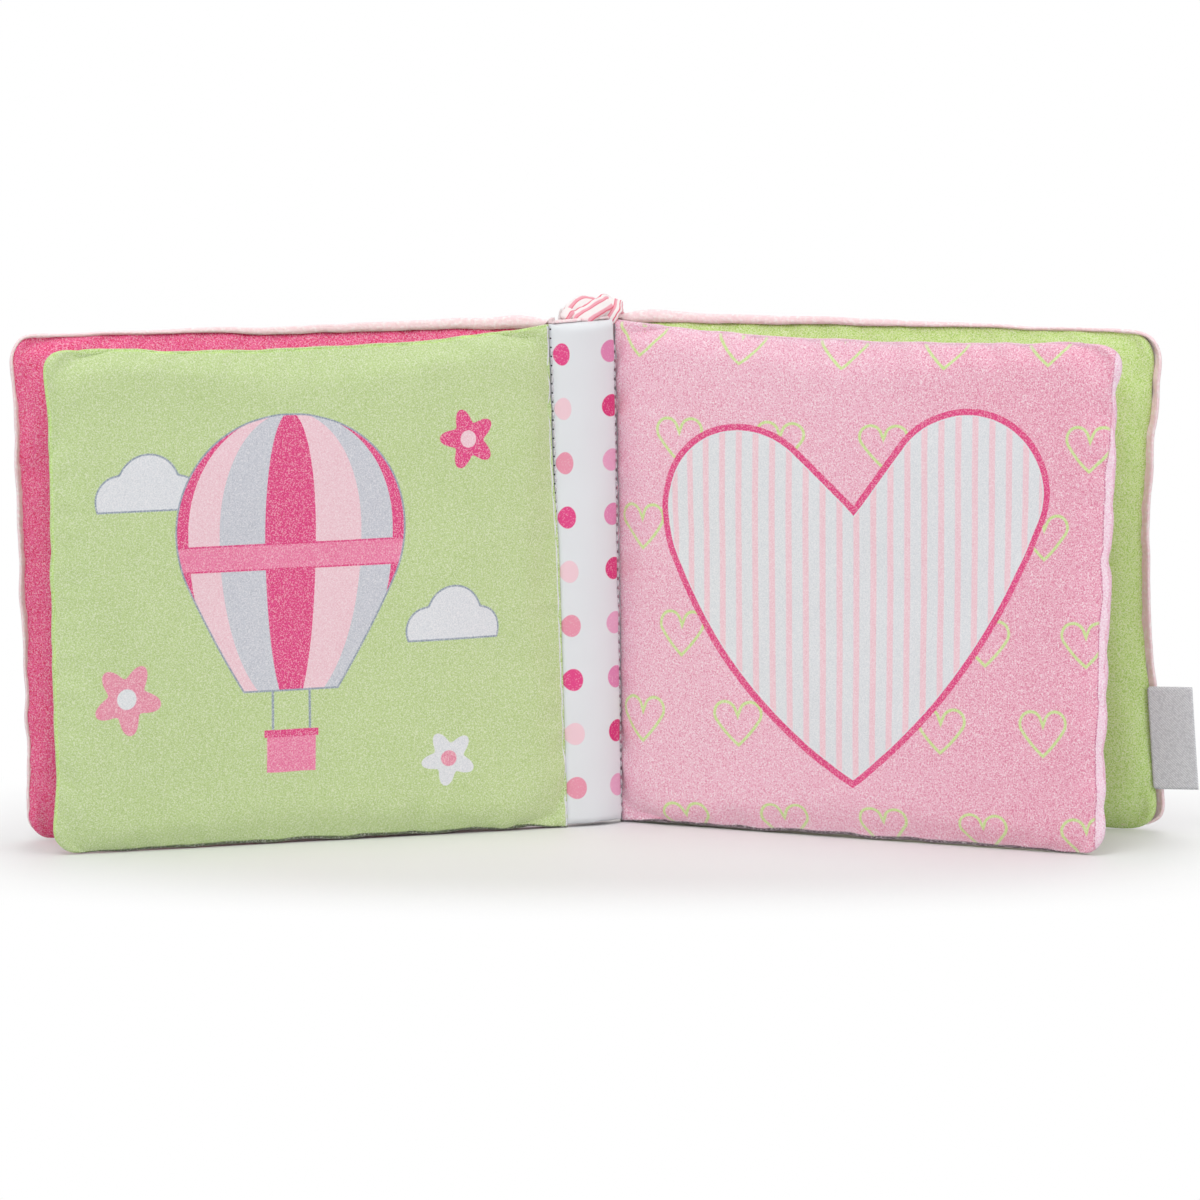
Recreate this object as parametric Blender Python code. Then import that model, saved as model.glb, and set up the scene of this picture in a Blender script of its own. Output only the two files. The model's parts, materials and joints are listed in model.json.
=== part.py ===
"""Crinkle cloth book, standing open.

Two padded leaves and two padded covers are sewn along the two long edges of a soft spine. Every
leaf is two cloth shells that meet at the rim, with crinkle film and wadding between them. The
covers are lined inside and plush outside. Metres, +Z up, the reader looks along +Y.
"""

import math
from dataclasses import dataclass

import bmesh
import bpy
from mathutils import Matrix, Vector

# Book
PAGE_HEIGHT = 0.150
LEAF_WIDTH = 0.160
COVER_WIDTH = 0.1605
CORNER_RADIUS = 0.0078
FLOOR_CUT = 0.0005
CLEARANCE = 0.0003

# Spine
SPINE_WIDTH = 0.0225
SPINE_TURN_DEG = 38.5
SPINE_FRONT_CROWN = 0.0042
SPINE_DEPTH = 0.0066
SPINE_BACK_CROWN = 0.0003
SPINE_PLUSH_GAP = 0.0005
SPINE_ROUNDING = 0.0024

# Leaves and covers: how far each stands forward of the picture plane, and its twist from foot to head
LEFT_LEAF_FORWARD_DEG = 22.3
RIGHT_LEAF_FORWARD_DEG = 25.5
FRONT_COVER_FORWARD_DEG = 10.5
BACK_COVER_FORWARD_DEG = 9.1
LEFT_LEAF_TWIST_DEG = 3.6
RIGHT_LEAF_TWIST_DEG = -1.6
FRONT_COVER_TWIST_DEG = 1.0
BACK_COVER_TWIST_DEG = 4.0
LEAF_FLARE = 0.0030
COVER_FLARE = 0.0016
COVER_HINGE_BEHIND = 0.0035
LEAF_BACK_DEG = 20.0

# Padding
LEAF_EDGE = 0.0020
LEAF_CROWN = 0.0010
LEAF_BEAD = 0.0011
LEAF_ROUNDING = 0.0028
COVER_EDGE = 0.0023
COVER_CROWN = 0.0012
COVER_BEAD = 0.0018
COVER_ROUNDING = 0.0034
SEAM_RISE = 0.012
PAD_START = 0.0080
PAD_ROUNDING = 0.0010
CROWN_REACH = 0.040
SCALLOP = 0.00045
SCALLOP_PITCH = 0.0150

# Cloths
LEAF_CLOTH = 0.0007
LINING_CLOTH = 0.0007
PLUSH_CLOTH = 0.0011
PLUSH_PROUD = 0.0010
FILM = 0.00025

# Stitches along the gutter
STITCH_PITCH = 0.0032
STITCH_RADIUS = 0.00035
STITCH_INSET = 0.0028
STITCH_MARGIN = 0.0040

# Knotted hanging loop
BAND_WIDTH = 0.0070
BAND_THICKNESS = 0.0016
KNOT_HALF_SPAN = 0.0088
KNOT_ARCH_RISE = 0.0014
KNOT_STRAND_RADIUS = 0.0028
KNOT_WRAP_RADIUS = 0.0027
KNOT_WRAP_TUBE = 0.0015
KNOT_DEPTH = 0.0042
LOOP_BEAD = 0.0018
LOOP_HANG = 0.0440
LOOP_BOTTOM_RADIUS = 0.0086
LOOP_BACK = 0.0053
LOOP_DROP = 0.0016
LOOP_NECK_RADIUS = 0.0005
WRAP_LIFT = 0.0002
TAIL_REACH = 0.0042
TAIL_RADIUS = 0.0019

# Woven label in the back cover's outer seam
LABEL_HEIGHT = 0.0308
LABEL_PROUD = 0.0124
LABEL_THICKNESS = 0.0009
LABEL_FOOT = 0.0121
LABEL_STAND_OFF = 0.0009

# Shares along a page: rows from foot to head and columns from seam to outer edge
EDGE_STEP_SHARES = (0.0, 0.10, 0.42, 1.0)
FIELD_ROW_SHARES = (0.13, 0.28, 0.43, 0.57, 0.72, 0.87)
FIELD_COLUMN_SHARES = (0.04, 0.08, 0.17, 0.32, 0.5, 0.68, 0.83, 0.93)
CORNER_STEP_SHARES = (0.35, 0.68, 1.0)
PAD_EDGE_SHARES = (0.0, 0.3, 1.0)
PAD_ROW_SHARES = (0.2, 0.4, 0.6, 0.8)
PAD_COLUMN_SHARES = (0.1, 0.25, 0.5, 0.75, 0.9)
PAD_CORNER_SHARES = (0.5, 1.0)
SPINE_ROW_SHARES = (0.25, 0.5, 0.75)
STITCH_SHARES = ((0.0, 0.35), (0.5, 1.0))
STITCH_SIDES = 4
SLANT_SHARES = (0.0, 0.12, 0.5, 1.0)
WAIST_SHARE = 0.8
WRAP_AT_SHARE = 0.22
TAIL_FROM_SHARE = 0.72
KNOT_TAPER_SHARE = 0.22
LOOP_NECK_SHARE = 0.10
KNOT_LEAN_DEG = 24.0
ROUND_STEPS = 3
LABEL_ROUND_STEPS = 4
TUBE_SIDES = 12
ARCH_POINTS = 9
BELT_POINTS = 10


@dataclass(frozen=True)
class Pillow:
    """A padded page lying in its own plane: u runs from the seam out, z up, w through it."""

    width: float
    flare: float
    edge: float
    crown: float
    bead: float
    rounding: float

    def outer_end(self, z, grow, inset):
        """How far out the page reaches at height z."""
        reach = self.width + self.flare * (z / PAGE_HEIGHT - 0.5) + grow - inset
        radius = CORNER_RADIUS - inset
        top = PAGE_HEIGHT + grow - inset
        foot = inset - FLOOR_CUT
        into_corner = max(z - (top - radius), foot + radius - z, 0.0)
        return reach - radius + math.sqrt(max(radius**2 - into_corner**2, 0.0))

    def seam(self, inset):
        """Where a cloth starts at the seam and its rounding there; a pad starts past the seam."""
        if inset < self.bead:
            return inset - self.bead, self.bead - inset
        return PAD_START + inset, PAD_ROUNDING

    def half(self, u, z, grow, inset, drop):
        """Half the thickness at a point, where inset and drop take a cloth's thickness off it."""
        rounding = self.rounding - inset
        top = PAGE_HEIGHT + grow - inset
        foot = inset - FLOOR_CUT
        start, seam_rounding = self.seam(inset)
        out = self.outer_end(z, grow, inset) - u
        down = min(z - foot, top - z)
        puckers = SCALLOP * (1 - math.cos(math.tau * z / SCALLOP_PITCH)) / 2 * (1 - ease(out / SEAM_RISE))
        sides = quarter(out / rounding) * quarter(down / rounding) * quarter((u - start) / seam_rounding)
        body = self.bead - drop + (self.edge - self.bead - puckers) * ease(u / SEAM_RISE)
        crown = self.crown * ease(u / CROWN_REACH) * ease(out / CROWN_REACH) * ease(down / CROWN_REACH)
        return CLEARANCE / 2 + body * sides + crown


@dataclass(frozen=True)
class Leaf:
    """Where a leaf or cover hangs: its empty, its pillow, the side its reader sees and its twist."""

    empty: bpy.types.Object
    pillow: Pillow
    face: int
    twist: float


def quarter(share):
    """The rise of a quarter round, from 0 to 1."""
    share = min(max(share, 0.0), 1.0)
    return math.sqrt(1 - (1 - share) ** 2)


def ease(share):
    """A smooth rise from 0 to 1."""
    share = min(max(share, 0.0), 1.0)
    return share * share * (3 - 2 * share)


def material(name, colour, roughness):
    """A plain cloth material, or the one of that name if it is there."""
    found = bpy.data.materials.get(name)
    if found:
        return found
    made = bpy.data.materials.new(name)
    made.use_nodes = True
    shader = made.node_tree.nodes["Principled BSDF"]
    shader.inputs["Base Color"].default_value = (*colour, 1)
    shader.inputs["Roughness"].default_value = roughness
    shader.inputs["Metallic"].default_value = 0
    return made


LIME = ("lime_print", (0.56, 0.71, 0.32), 0.85)
LIME_BACK = ("lime_reverse", (0.60, 0.74, 0.38), 0.85)
PINK = ("pink_print", (0.87, 0.39, 0.55), 0.85)
PINK_BACK = ("pink_reverse", (0.87, 0.56, 0.66), 0.85)
MAGENTA = ("magenta_lining", (0.76, 0.09, 0.26), 0.85)
GREEN = ("green_lining", (0.52, 0.68, 0.27), 0.85)
WHITE = ("white_dotted_cotton", (0.80, 0.83, 0.86), 0.80)
PLUSH = ("pale_pink_plush", (0.90, 0.66, 0.68), 0.95)
WADDING = ("white_wadding", (0.88, 0.88, 0.87), 0.95)
CRINKLE = ("clear_crinkle_film", (0.82, 0.85, 0.88), 0.20)
THREAD = ("white_thread", (0.78, 0.78, 0.78), 0.60)
BAND = ("striped_cotton_band", (0.88, 0.72, 0.72), 0.85)
SATIN = ("grey_satin_label", (0.38, 0.39, 0.40), 0.35)


def empty_at(name, place, turn, parent=None):
    """An empty on a joint's axis, turned about +Z by turn radians."""
    made = bpy.data.objects.new(name, None)
    made.empty_display_size = SPINE_WIDTH
    made.parent = parent
    made.location = place
    made.rotation_euler = (0, 0, turn)
    bpy.context.collection.objects.link(made)
    return made


def finish(bm, name, parent, cloth, sharp_deg=50):
    """Turns the bmesh into an object under its parent, shaded smooth with its sharp edges kept."""
    bmesh.ops.recalc_face_normals(bm, faces=bm.faces)
    if bm.calc_volume(signed=True) < 0:
        bmesh.ops.reverse_faces(bm, faces=bm.faces)
    mesh = bpy.data.meshes.new(name)
    bm.to_mesh(mesh)
    bm.free()
    mesh.materials.append(material(*cloth))
    mesh.shade_smooth()
    mesh.set_sharp_from_angle(angle=math.radians(sharp_deg))
    made = bpy.data.objects.new(name, mesh)
    made.parent = parent
    bpy.context.collection.objects.link(made)
    return made


def cut_flat(bm):
    """Cuts the foot flat on the floor and closes the cut."""
    around = bm.verts[:] + bm.edges[:] + bm.faces[:]
    floor = Vector((0, 0, 0))
    up = Vector((0, 0, 1))
    cut = bmesh.ops.bisect_plane(bm, geom=around, plane_co=floor, plane_no=-up, clear_outer=True)
    edges = [e for e in cut["geom_cut"] if isinstance(e, bmesh.types.BMEdge)]
    bmesh.ops.holes_fill(bm, edges=edges)


def stations(start, end, near_start, near_end, shares):
    """Places from start to end: some close by each end, and shares of the field between."""
    inner, outer = start + near_start[-1], end - near_end[-1]
    field = [inner + (outer - inner) * share for share in shares]
    return [start + d for d in near_start] + field + [end - d for d in reversed(near_end)]


@dataclass(frozen=True)
class Grid:
    """Shares that space a page's grid: across its rims, round its corners and over its field."""

    edges: tuple
    corners: tuple
    rows: tuple
    columns: tuple


CLOTH_GRID = Grid(EDGE_STEP_SHARES, CORNER_STEP_SHARES, FIELD_ROW_SHARES, FIELD_COLUMN_SHARES)
PAD_GRID = Grid(PAD_EDGE_SHARES, PAD_CORNER_SHARES, PAD_ROW_SHARES, PAD_COLUMN_SHARES)


def rim_of(verts, columns):
    """A grid's outer vertices in order round it."""
    count = len(verts)
    foot = verts[: columns - 1]
    outer = verts[columns - 1 : count - 1 : columns]
    head = verts[count - 1 : count - columns : -1]
    seam = verts[count - columns : 0 : -columns]
    return foot + outer + head + seam


def join_rims(bm, one, other):
    """Closes the strip between two grids' rims."""
    for i in range(len(one)):
        bm.faces.new((one[i - 1], one[i], other[i], other[i - 1]))


def page_rows(pillow, grow, inset, grid):
    """Heights of a page's grid rows, close together round its corners and rims."""
    rim = [(pillow.rounding - inset) * share for share in grid.edges[:-1]]
    corner = [CORNER_RADIUS * share for share in grid.corners]
    near = rim + corner
    return stations(inset - FLOOR_CUT, PAGE_HEIGHT + grow - inset, near, near, grid.rows)


def page_columns(pillow, z, grow, inset, grid):
    """Places of a page's grid columns at height z."""
    start, rounding = pillow.seam(inset)
    seam = [rounding * share for share in grid.edges]
    rim = [(pillow.rounding - inset) * share for share in grid.edges]
    return stations(start, pillow.outer_end(z, grow, inset), seam, rim, grid.columns)


def page_grid(bm, pillow, side, grow, inset, drop, spacing):
    """Adds one face of a page as a grid bulging to the given side, and returns its rim."""
    rows = page_rows(pillow, grow, inset, spacing)
    columns = len(page_columns(pillow, rows[0], grow, inset, spacing))
    grid = bmesh.ops.create_grid(bm, x_segments=columns - 1, y_segments=len(rows) - 1, size=0.5)
    for i, vert in enumerate(grid["verts"]):
        z = rows[i // columns]
        u = page_columns(pillow, z, grow, inset, spacing)[i % columns]
        w = pillow.half(u, z, grow, inset, drop)
        vert.co = (u, side * w, z)
    return rim_of(grid["verts"], columns)


def twisted(bm, twist):
    """Turns each height of a page about its seam, half the twist one way at the foot."""
    for vert in bm.verts:
        turn = twist * (vert.co.z / PAGE_HEIGHT - 0.5)
        vert.co = Matrix.Rotation(turn, 3, "Z") @ vert.co


def shell(name, leaf, side, cloth_thickness, cloth, grow=0.0):
    """One cloth of a page: an open shell from rim to rim, its foot cut flat."""
    bm = bmesh.new()
    outside = page_grid(bm, leaf.pillow, side, grow, 0.0, 0.0, CLOTH_GRID)
    inside = page_grid(bm, leaf.pillow, side, grow, cloth_thickness, cloth_thickness, CLOTH_GRID)
    join_rims(bm, outside, inside)
    cut_flat(bm)
    twisted(bm, leaf.twist)
    return finish(bm, name, leaf.empty, cloth)


def filling(name, leaf, front, back, cloth):
    """A closed pad inside a page; front and back are how far it stays under each outer face."""
    bm = bmesh.new()
    inset = max(front, back)
    near = page_grid(bm, leaf.pillow, leaf.face, 0.0, inset, front, PAD_GRID)
    far = page_grid(bm, leaf.pillow, -leaf.face, 0.0, inset, back, PAD_GRID)
    join_rims(bm, near, far)
    twisted(bm, leaf.twist)
    return finish(bm, name, leaf.empty, cloth)


def spine_half():
    """Half the spine's width, a bead short of the seams that the leaves turn on."""
    return SPINE_WIDTH / 2 - LEAF_BEAD - CLEARANCE


def spine_outline(inset):
    """Half of the spine's back outline as (s, depth), from its rim in to its middle."""
    half = spine_half() - inset
    swung_in = COVER_HINGE_BEHIND * math.sin(math.radians(LEAF_BACK_DEG))
    shoulder = SPINE_WIDTH / 2 - swung_in - COVER_BEAD - SPINE_PLUSH_GAP - inset
    waist = COVER_HINGE_BEHIND * WAIST_SHARE
    depth = SPINE_DEPTH - inset
    radius = depth - waist
    points = [(half + (shoulder - half) * share, waist * share) for share in SLANT_SHARES]
    for step in range(1, ROUND_STEPS + 1):
        turn = math.pi / 2 * step / ROUND_STEPS
        points.append((shoulder - radius * (1 - math.cos(turn)), waist + radius * math.sin(turn)))
    inner = points[-1][0]
    return points + [(inner * share, depth + SPINE_BACK_CROWN * (1 - share**2)) for share in (0.5, 0.0)]


def spine_grid(bm, side, inset):
    """Adds the spine's reader side (1) or back side (-1) as a grid, and returns its rim."""
    half = spine_outline(inset)
    across = [(s, d) for s, d in half] + [(-s, d) for s, d in reversed(half[:-1])]
    foot, top = inset - FLOOR_CUT, PAGE_HEIGHT - inset
    rim = [SPINE_ROUNDING * share for share in EDGE_STEP_SHARES]
    rows = stations(foot, top, rim, rim, SPINE_ROW_SHARES)
    grid = bmesh.ops.create_grid(bm, x_segments=len(across) - 1, y_segments=len(rows) - 1, size=0.5)
    for i, vert in enumerate(grid["verts"]):
        z = rows[i // len(across)]
        s, depth = across[i % len(across)]
        round_off = quarter(min(z - foot, top - z) / (SPINE_ROUNDING - inset))
        if side > 0:
            depth = spine_front(s, inset)
        vert.co = (s, -side * (CLEARANCE / 2 + depth * round_off), z)
    return rim_of(grid["verts"], len(across))


def spine_front(s, inset):
    """How far the dotted strip stands proud of the seams' plane at s across it."""
    half = spine_half() - inset
    edge = (LEAF_BEAD - inset) * quarter((half - abs(s)) / LEAF_BEAD)
    return edge + SPINE_FRONT_CROWN * (1 - (s / half) ** 2)


def spine_shell(name, parent, side, cloth_thickness, cloth):
    """The spine's dotted strip (side 1) or its plush back (side -1)."""
    bm = bmesh.new()
    join_rims(bm, spine_grid(bm, side, 0.0), spine_grid(bm, side, cloth_thickness))
    cut_flat(bm)
    return finish(bm, name, parent, cloth)


def spine_filling(name, parent, cloth):
    """The wadding roll between the dotted strip and the plush."""
    bm = bmesh.new()
    inset = PLUSH_CLOTH + CLEARANCE
    join_rims(bm, spine_grid(bm, 1, inset), spine_grid(bm, -1, inset))
    return finish(bm, name, parent, cloth)


def tube(name, parent, path, radii, cloth, sides=TUBE_SIDES, closed=False):
    """A round strand along a path of points, its ends capped unless it closes on itself."""
    bm = bmesh.new()
    rings = []
    count = len(path)
    for i, point in enumerate(path):
        before = path[(i - 1) % count] if closed or i else point
        after = path[(i + 1) % count] if closed or i < count - 1 else point
        along = (after - before).normalized()
        turn = along.to_track_quat("Z", "X").to_matrix().to_4x4()
        ring = bmesh.ops.create_circle(
            bm, segments=sides, radius=radii[i], matrix=Matrix.Translation(point) @ turn,
        )
        rings.append(ring["verts"])
    for i in range(count if closed else count - 1):
        here, there = rings[i], rings[(i + 1) % count]
        for k in range(sides):
            after = (k + 1) % sides
            bm.faces.new((here[k], here[after], there[after], there[k]))
    if not closed:
        bm.faces.new(rings[0])
        bm.faces.new(rings[-1])
    return finish(bm, name, parent, cloth)


def seam_thread(name, parent, end):
    """The topstitch just inside a seam: one thread, narrow where each stitch dives into the cloth."""
    s = end * (SPINE_WIDTH / 2 - STITCH_INSET)
    w = -(CLEARANCE / 2 + spine_front(s, 0.0) + CLEARANCE + STITCH_RADIUS)
    count = int((PAGE_HEIGHT - 2 * STITCH_MARGIN) / STITCH_PITCH)
    first = (PAGE_HEIGHT - count * STITCH_PITCH) / 2
    path, radii = [], []
    for i in range(count):
        start = first + i * STITCH_PITCH
        for along, thick_share in STITCH_SHARES:
            path.append(Vector((s, w, start + along * STITCH_PITCH)))
            radii.append(STITCH_RADIUS * thick_share)
    return tube(name, parent, path, radii, THREAD, sides=STITCH_SIDES)


def knot_arch(share):
    """A point on the knot's arch, share from -1 to 1 along the spine's top."""
    seat = PAGE_HEIGHT + CLEARANCE + KNOT_STRAND_RADIUS
    return Vector((KNOT_HALF_SPAN * share, KNOT_DEPTH, seat + KNOT_ARCH_RISE * (1 - share**2)))


def loop_knot(parent):
    """The knotted band: an arch, the turn that wraps it and a short tail, joined in one solid."""
    shares = [-1 + 2 * i / (ARCH_POINTS - 1) for i in range(ARCH_POINTS)]
    radii = [KNOT_STRAND_RADIUS * (1 - KNOT_TAPER_SHARE * abs(share) ** 3) for share in shares]
    knot = tube("loop_knot", parent, [knot_arch(share) for share in shares], radii, BAND)
    middle = knot_arch(WRAP_AT_SHARE)
    lean = Matrix.Rotation(math.radians(KNOT_LEAN_DEG), 3, "Y")
    turns = [math.tau * i / TUBE_SIDES for i in range(TUBE_SIDES)]
    round_arch = [Vector((0, math.cos(t), math.sin(t))) * KNOT_WRAP_RADIUS for t in turns]
    wrap_path = [middle + lean @ point + Vector((0, 0, WRAP_LIFT)) for point in round_arch]
    wrap = tube("knot_wrap", parent, wrap_path, [KNOT_WRAP_TUBE] * TUBE_SIDES, BAND, closed=True)
    start = knot_arch(-TAIL_FROM_SHARE)
    reach = Vector((-TAIL_REACH, TAIL_REACH, TAIL_REACH / 2))
    tail_path = [start + reach * share for share in (0.0, 0.5, 1.0)]
    tail = tube("knot_tail", parent, tail_path, [TAIL_RADIUS] * 3, BAND)
    for piece in (wrap, tail):
        piece.hide_render = True
        piece.display_type = "WIRE"
        union = knot.modifiers.new(piece.name, "BOOLEAN")
        union.operation = "UNION"
        union.object = piece
    return knot


def belt(top, top_radius, bottom, bottom_radius):
    """The outline of a band round two circles, as (y, z) points from the right side over the top."""
    gap = math.dist(top, bottom)
    lean = math.atan2(bottom[0] - top[0], top[1] - bottom[1])
    flare = math.asin((bottom_radius - top_radius) / gap)
    points = []
    for centre, radius, start, end in (
        (top, top_radius, flare, math.pi - flare),
        (bottom, bottom_radius, math.pi - flare, math.tau + flare),
    ):
        for i in range(BELT_POINTS + 1):
            turn = start + (end - start) * i / BELT_POINTS + lean
            points.append((centre[0] + radius * math.cos(turn), centre[1] + radius * math.sin(turn)))
    return points


def hanging_loop(parent):
    """The flat band loop, a drop shape that hangs from its own axis at the empty."""
    bm = bmesh.new()
    bottom = (LOOP_BACK, -LOOP_HANG)
    inner_top = (LOOP_BACK * LOOP_NECK_SHARE, -LOOP_HANG * LOOP_NECK_SHARE)
    outside = belt((0.0, 0.0), LOOP_BEAD, bottom, LOOP_BOTTOM_RADIUS)
    inside = belt(inner_top, LOOP_NECK_RADIUS, bottom, LOOP_BOTTOM_RADIUS - BAND_THICKNESS)
    edges = []
    for outline in (outside, inside):
        ring = [bm.verts.new((-BAND_WIDTH / 2, y, z)) for y, z in outline]
        edges += [bm.edges.new((ring[i - 1], ring[i])) for i in range(len(ring))]
    face = bmesh.ops.bridge_loops(bm, edges=edges)["faces"]
    grown = bmesh.ops.extrude_face_region(bm, geom=face)
    moved = [v for v in grown["geom"] if isinstance(v, bmesh.types.BMVert)]
    bmesh.ops.translate(bm, verts=moved, vec=(BAND_WIDTH, 0, 0))
    return finish(bm, "hanging_loop", parent, BAND)


def label_seam(cover):
    """The empty that the label turns on, leaning with the twist of the cover's outer rim."""
    middle = LABEL_FOOT + LABEL_HEIGHT / 2
    rim = cover.pillow.outer_end(middle, 0.0, 0.0) + LABEL_THICKNESS / 2 + CLEARANCE
    turn = cover.twist * (middle / PAGE_HEIGHT - 0.5)
    place = Matrix.Rotation(turn, 3, "Z") @ Vector((rim, cover.face * LABEL_STAND_OFF, 0))
    seam = empty_at("label_seam", place + Vector((0, 0, middle)), turn, cover.empty)
    seam.rotation_euler.x = -math.atan(rim * cover.twist / PAGE_HEIGHT)
    return seam


def woven_label(parent):
    """The folded satin tab: it turns on its rounded sewn edge, which lies on the empty."""
    bm = bmesh.new()
    half = LABEL_THICKNESS / 2
    turns = [math.pi / 2 + math.pi * i / LABEL_ROUND_STEPS for i in range(LABEL_ROUND_STEPS + 1)]
    outline = [(half * math.cos(t), half * math.sin(t)) for t in turns]
    outline += [(LABEL_PROUD, -half), (LABEL_PROUD + half, 0.0), (LABEL_PROUD, half)]
    face = bm.faces.new([bm.verts.new((x, y, -LABEL_HEIGHT / 2)) for x, y in outline])
    grown = bmesh.ops.extrude_face_region(bm, geom=[face])
    moved = [v for v in grown["geom"] if isinstance(v, bmesh.types.BMVert)]
    bmesh.ops.translate(bm, verts=moved, vec=(0, 0, LABEL_HEIGHT))
    return finish(bm, "woven_label", parent, SATIN)


def leaf_pieces(name, leaf, cloths):
    """A leaf's two printed cloths, its crinkle film and its wadding."""
    front, back = cloths
    under = LEAF_CLOTH + CLEARANCE
    shell(f"{name}_front_cloth", leaf, leaf.face, LEAF_CLOTH, front)
    shell(f"{name}_back_cloth", leaf, -leaf.face, LEAF_CLOTH, back)
    film(f"{name}_crinkle_film", leaf, under)
    filling(f"{name}_wadding", leaf, under + FILM + CLEARANCE, under, WADDING)


def film(name, leaf, under):
    """The crinkle film, a thin sheet under the reader's side of a leaf."""
    bm = bmesh.new()
    outside = page_grid(bm, leaf.pillow, leaf.face, 0.0, under, under, PAD_GRID)
    inside = page_grid(bm, leaf.pillow, leaf.face, 0.0, under + FILM, under + FILM, PAD_GRID)
    join_rims(bm, outside, inside)
    twisted(bm, leaf.twist)
    return finish(bm, name, leaf.empty, CRINKLE)


def cover_pieces(name, leaf, lining):
    """A cover's lining, its plush, which stands a little proud of it, and its wadding."""
    shell(f"{name}_lining", leaf, leaf.face, LINING_CLOTH, lining)
    shell(f"{name}_plush", leaf, -leaf.face, PLUSH_CLOTH, PLUSH, grow=PLUSH_PROUD)
    filling(f"{name}_wadding", leaf, LINING_CLOTH + CLEARANCE, PLUSH_CLOTH + CLEARANCE, WADDING)


def centred(root):
    """Moves the book so that its box stands centred on the origin."""
    bpy.context.view_layer.update()
    corners = [
        made.matrix_world @ vert.co
        for made in bpy.data.objects
        if made.type == "MESH" and not made.hide_render
        for vert in made.data.vertices
    ]
    low = [min(c[axis] for c in corners) for axis in range(2)]
    high = [max(c[axis] for c in corners) for axis in range(2)]
    root.location = (-(low[0] + high[0]) / 2, -(low[1] + high[1]) / 2, 0)
    bpy.context.view_layer.update()


def main():
    """Builds the book."""
    for old in list(bpy.data.objects):
        bpy.data.objects.remove(old)
    book = empty_at("book", (0, 0, 0), 0.0)
    spine_turn = math.radians(SPINE_TURN_DEG)
    spine = empty_at("spine", (0, 0, 0), spine_turn, book)
    spine_shell("gutter_strip", spine, 1, LINING_CLOTH, WHITE)
    spine_shell("spine_plush", spine, -1, PLUSH_CLOTH, PLUSH)
    spine_filling("spine_wadding", spine, WADDING)
    seam_thread("left_seam_thread", spine, -1)
    seam_thread("right_seam_thread", spine, 1)
    loop_knot(spine)
    behind_knot = KNOT_DEPTH + KNOT_WRAP_RADIUS + KNOT_WRAP_TUBE + CLEARANCE + LOOP_BEAD
    loop_axis = (0, behind_knot, knot_arch(0).z - LOOP_DROP)
    hanging_loop(empty_at("loop_swing", loop_axis, 0.0, spine))

    leaf_pillow = Pillow(LEAF_WIDTH, LEAF_FLARE, LEAF_EDGE, LEAF_CROWN, LEAF_BEAD, LEAF_ROUNDING)
    cover_pillow = Pillow(
        COVER_WIDTH, COVER_FLARE, COVER_EDGE, COVER_CROWN, COVER_BEAD, COVER_ROUNDING,
    )
    sides = (
        (-1, "left_leaf", "front_cover", (LIME, LIME_BACK), MAGENTA,
         LEFT_LEAF_FORWARD_DEG, FRONT_COVER_FORWARD_DEG, LEFT_LEAF_TWIST_DEG, FRONT_COVER_TWIST_DEG),
        (1, "right_leaf", "back_cover", (PINK, PINK_BACK), GREEN,
         RIGHT_LEAF_FORWARD_DEG, BACK_COVER_FORWARD_DEG, RIGHT_LEAF_TWIST_DEG, BACK_COVER_TWIST_DEG),
    )
    for end, leaf_name, cover_name, prints, lining, forward, cover_forward, twist, cover_twist in sides:
        open_turn = 0.0 if end > 0 else math.pi
        leaf_turn = open_turn - end * math.radians(forward)
        cover_turn = open_turn - end * math.radians(cover_forward)
        seam = Matrix.Rotation(spine_turn, 3, "Z") @ Vector((end * SPINE_WIDTH / 2, 0, 0))
        leaf_seam = empty_at(f"{leaf_name}_seam", seam, leaf_turn, book)
        leaf = Leaf(leaf_seam, leaf_pillow, -end, -end * math.radians(twist))
        leaf_pieces(leaf_name, leaf, prints)
        behind = Vector((0, end * COVER_HINGE_BEHIND, 0))
        cover_seam = empty_at(f"{cover_name}_seam", behind, cover_turn - leaf_turn, leaf_seam)
        cover = Leaf(cover_seam, cover_pillow, -end, -end * math.radians(cover_twist))
        cover_pieces(cover_name, cover, lining)
    woven_label(label_seam(cover))
    centred(book)


main()
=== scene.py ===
"""Crinkle cloth book, standing open.

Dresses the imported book: padded cloth leaves and covers that a cloth simulation fills, a dotted
spine strip with its topstitching, plush backs, a knotted band with its hanging loop and a satin
tab. Metres, in the frame's own axes: the reader looks along +Y.
"""

import json
import logging
import math
from dataclasses import dataclass
from enum import Enum

import bpy
import numpy as np
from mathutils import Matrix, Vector, noise

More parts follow.
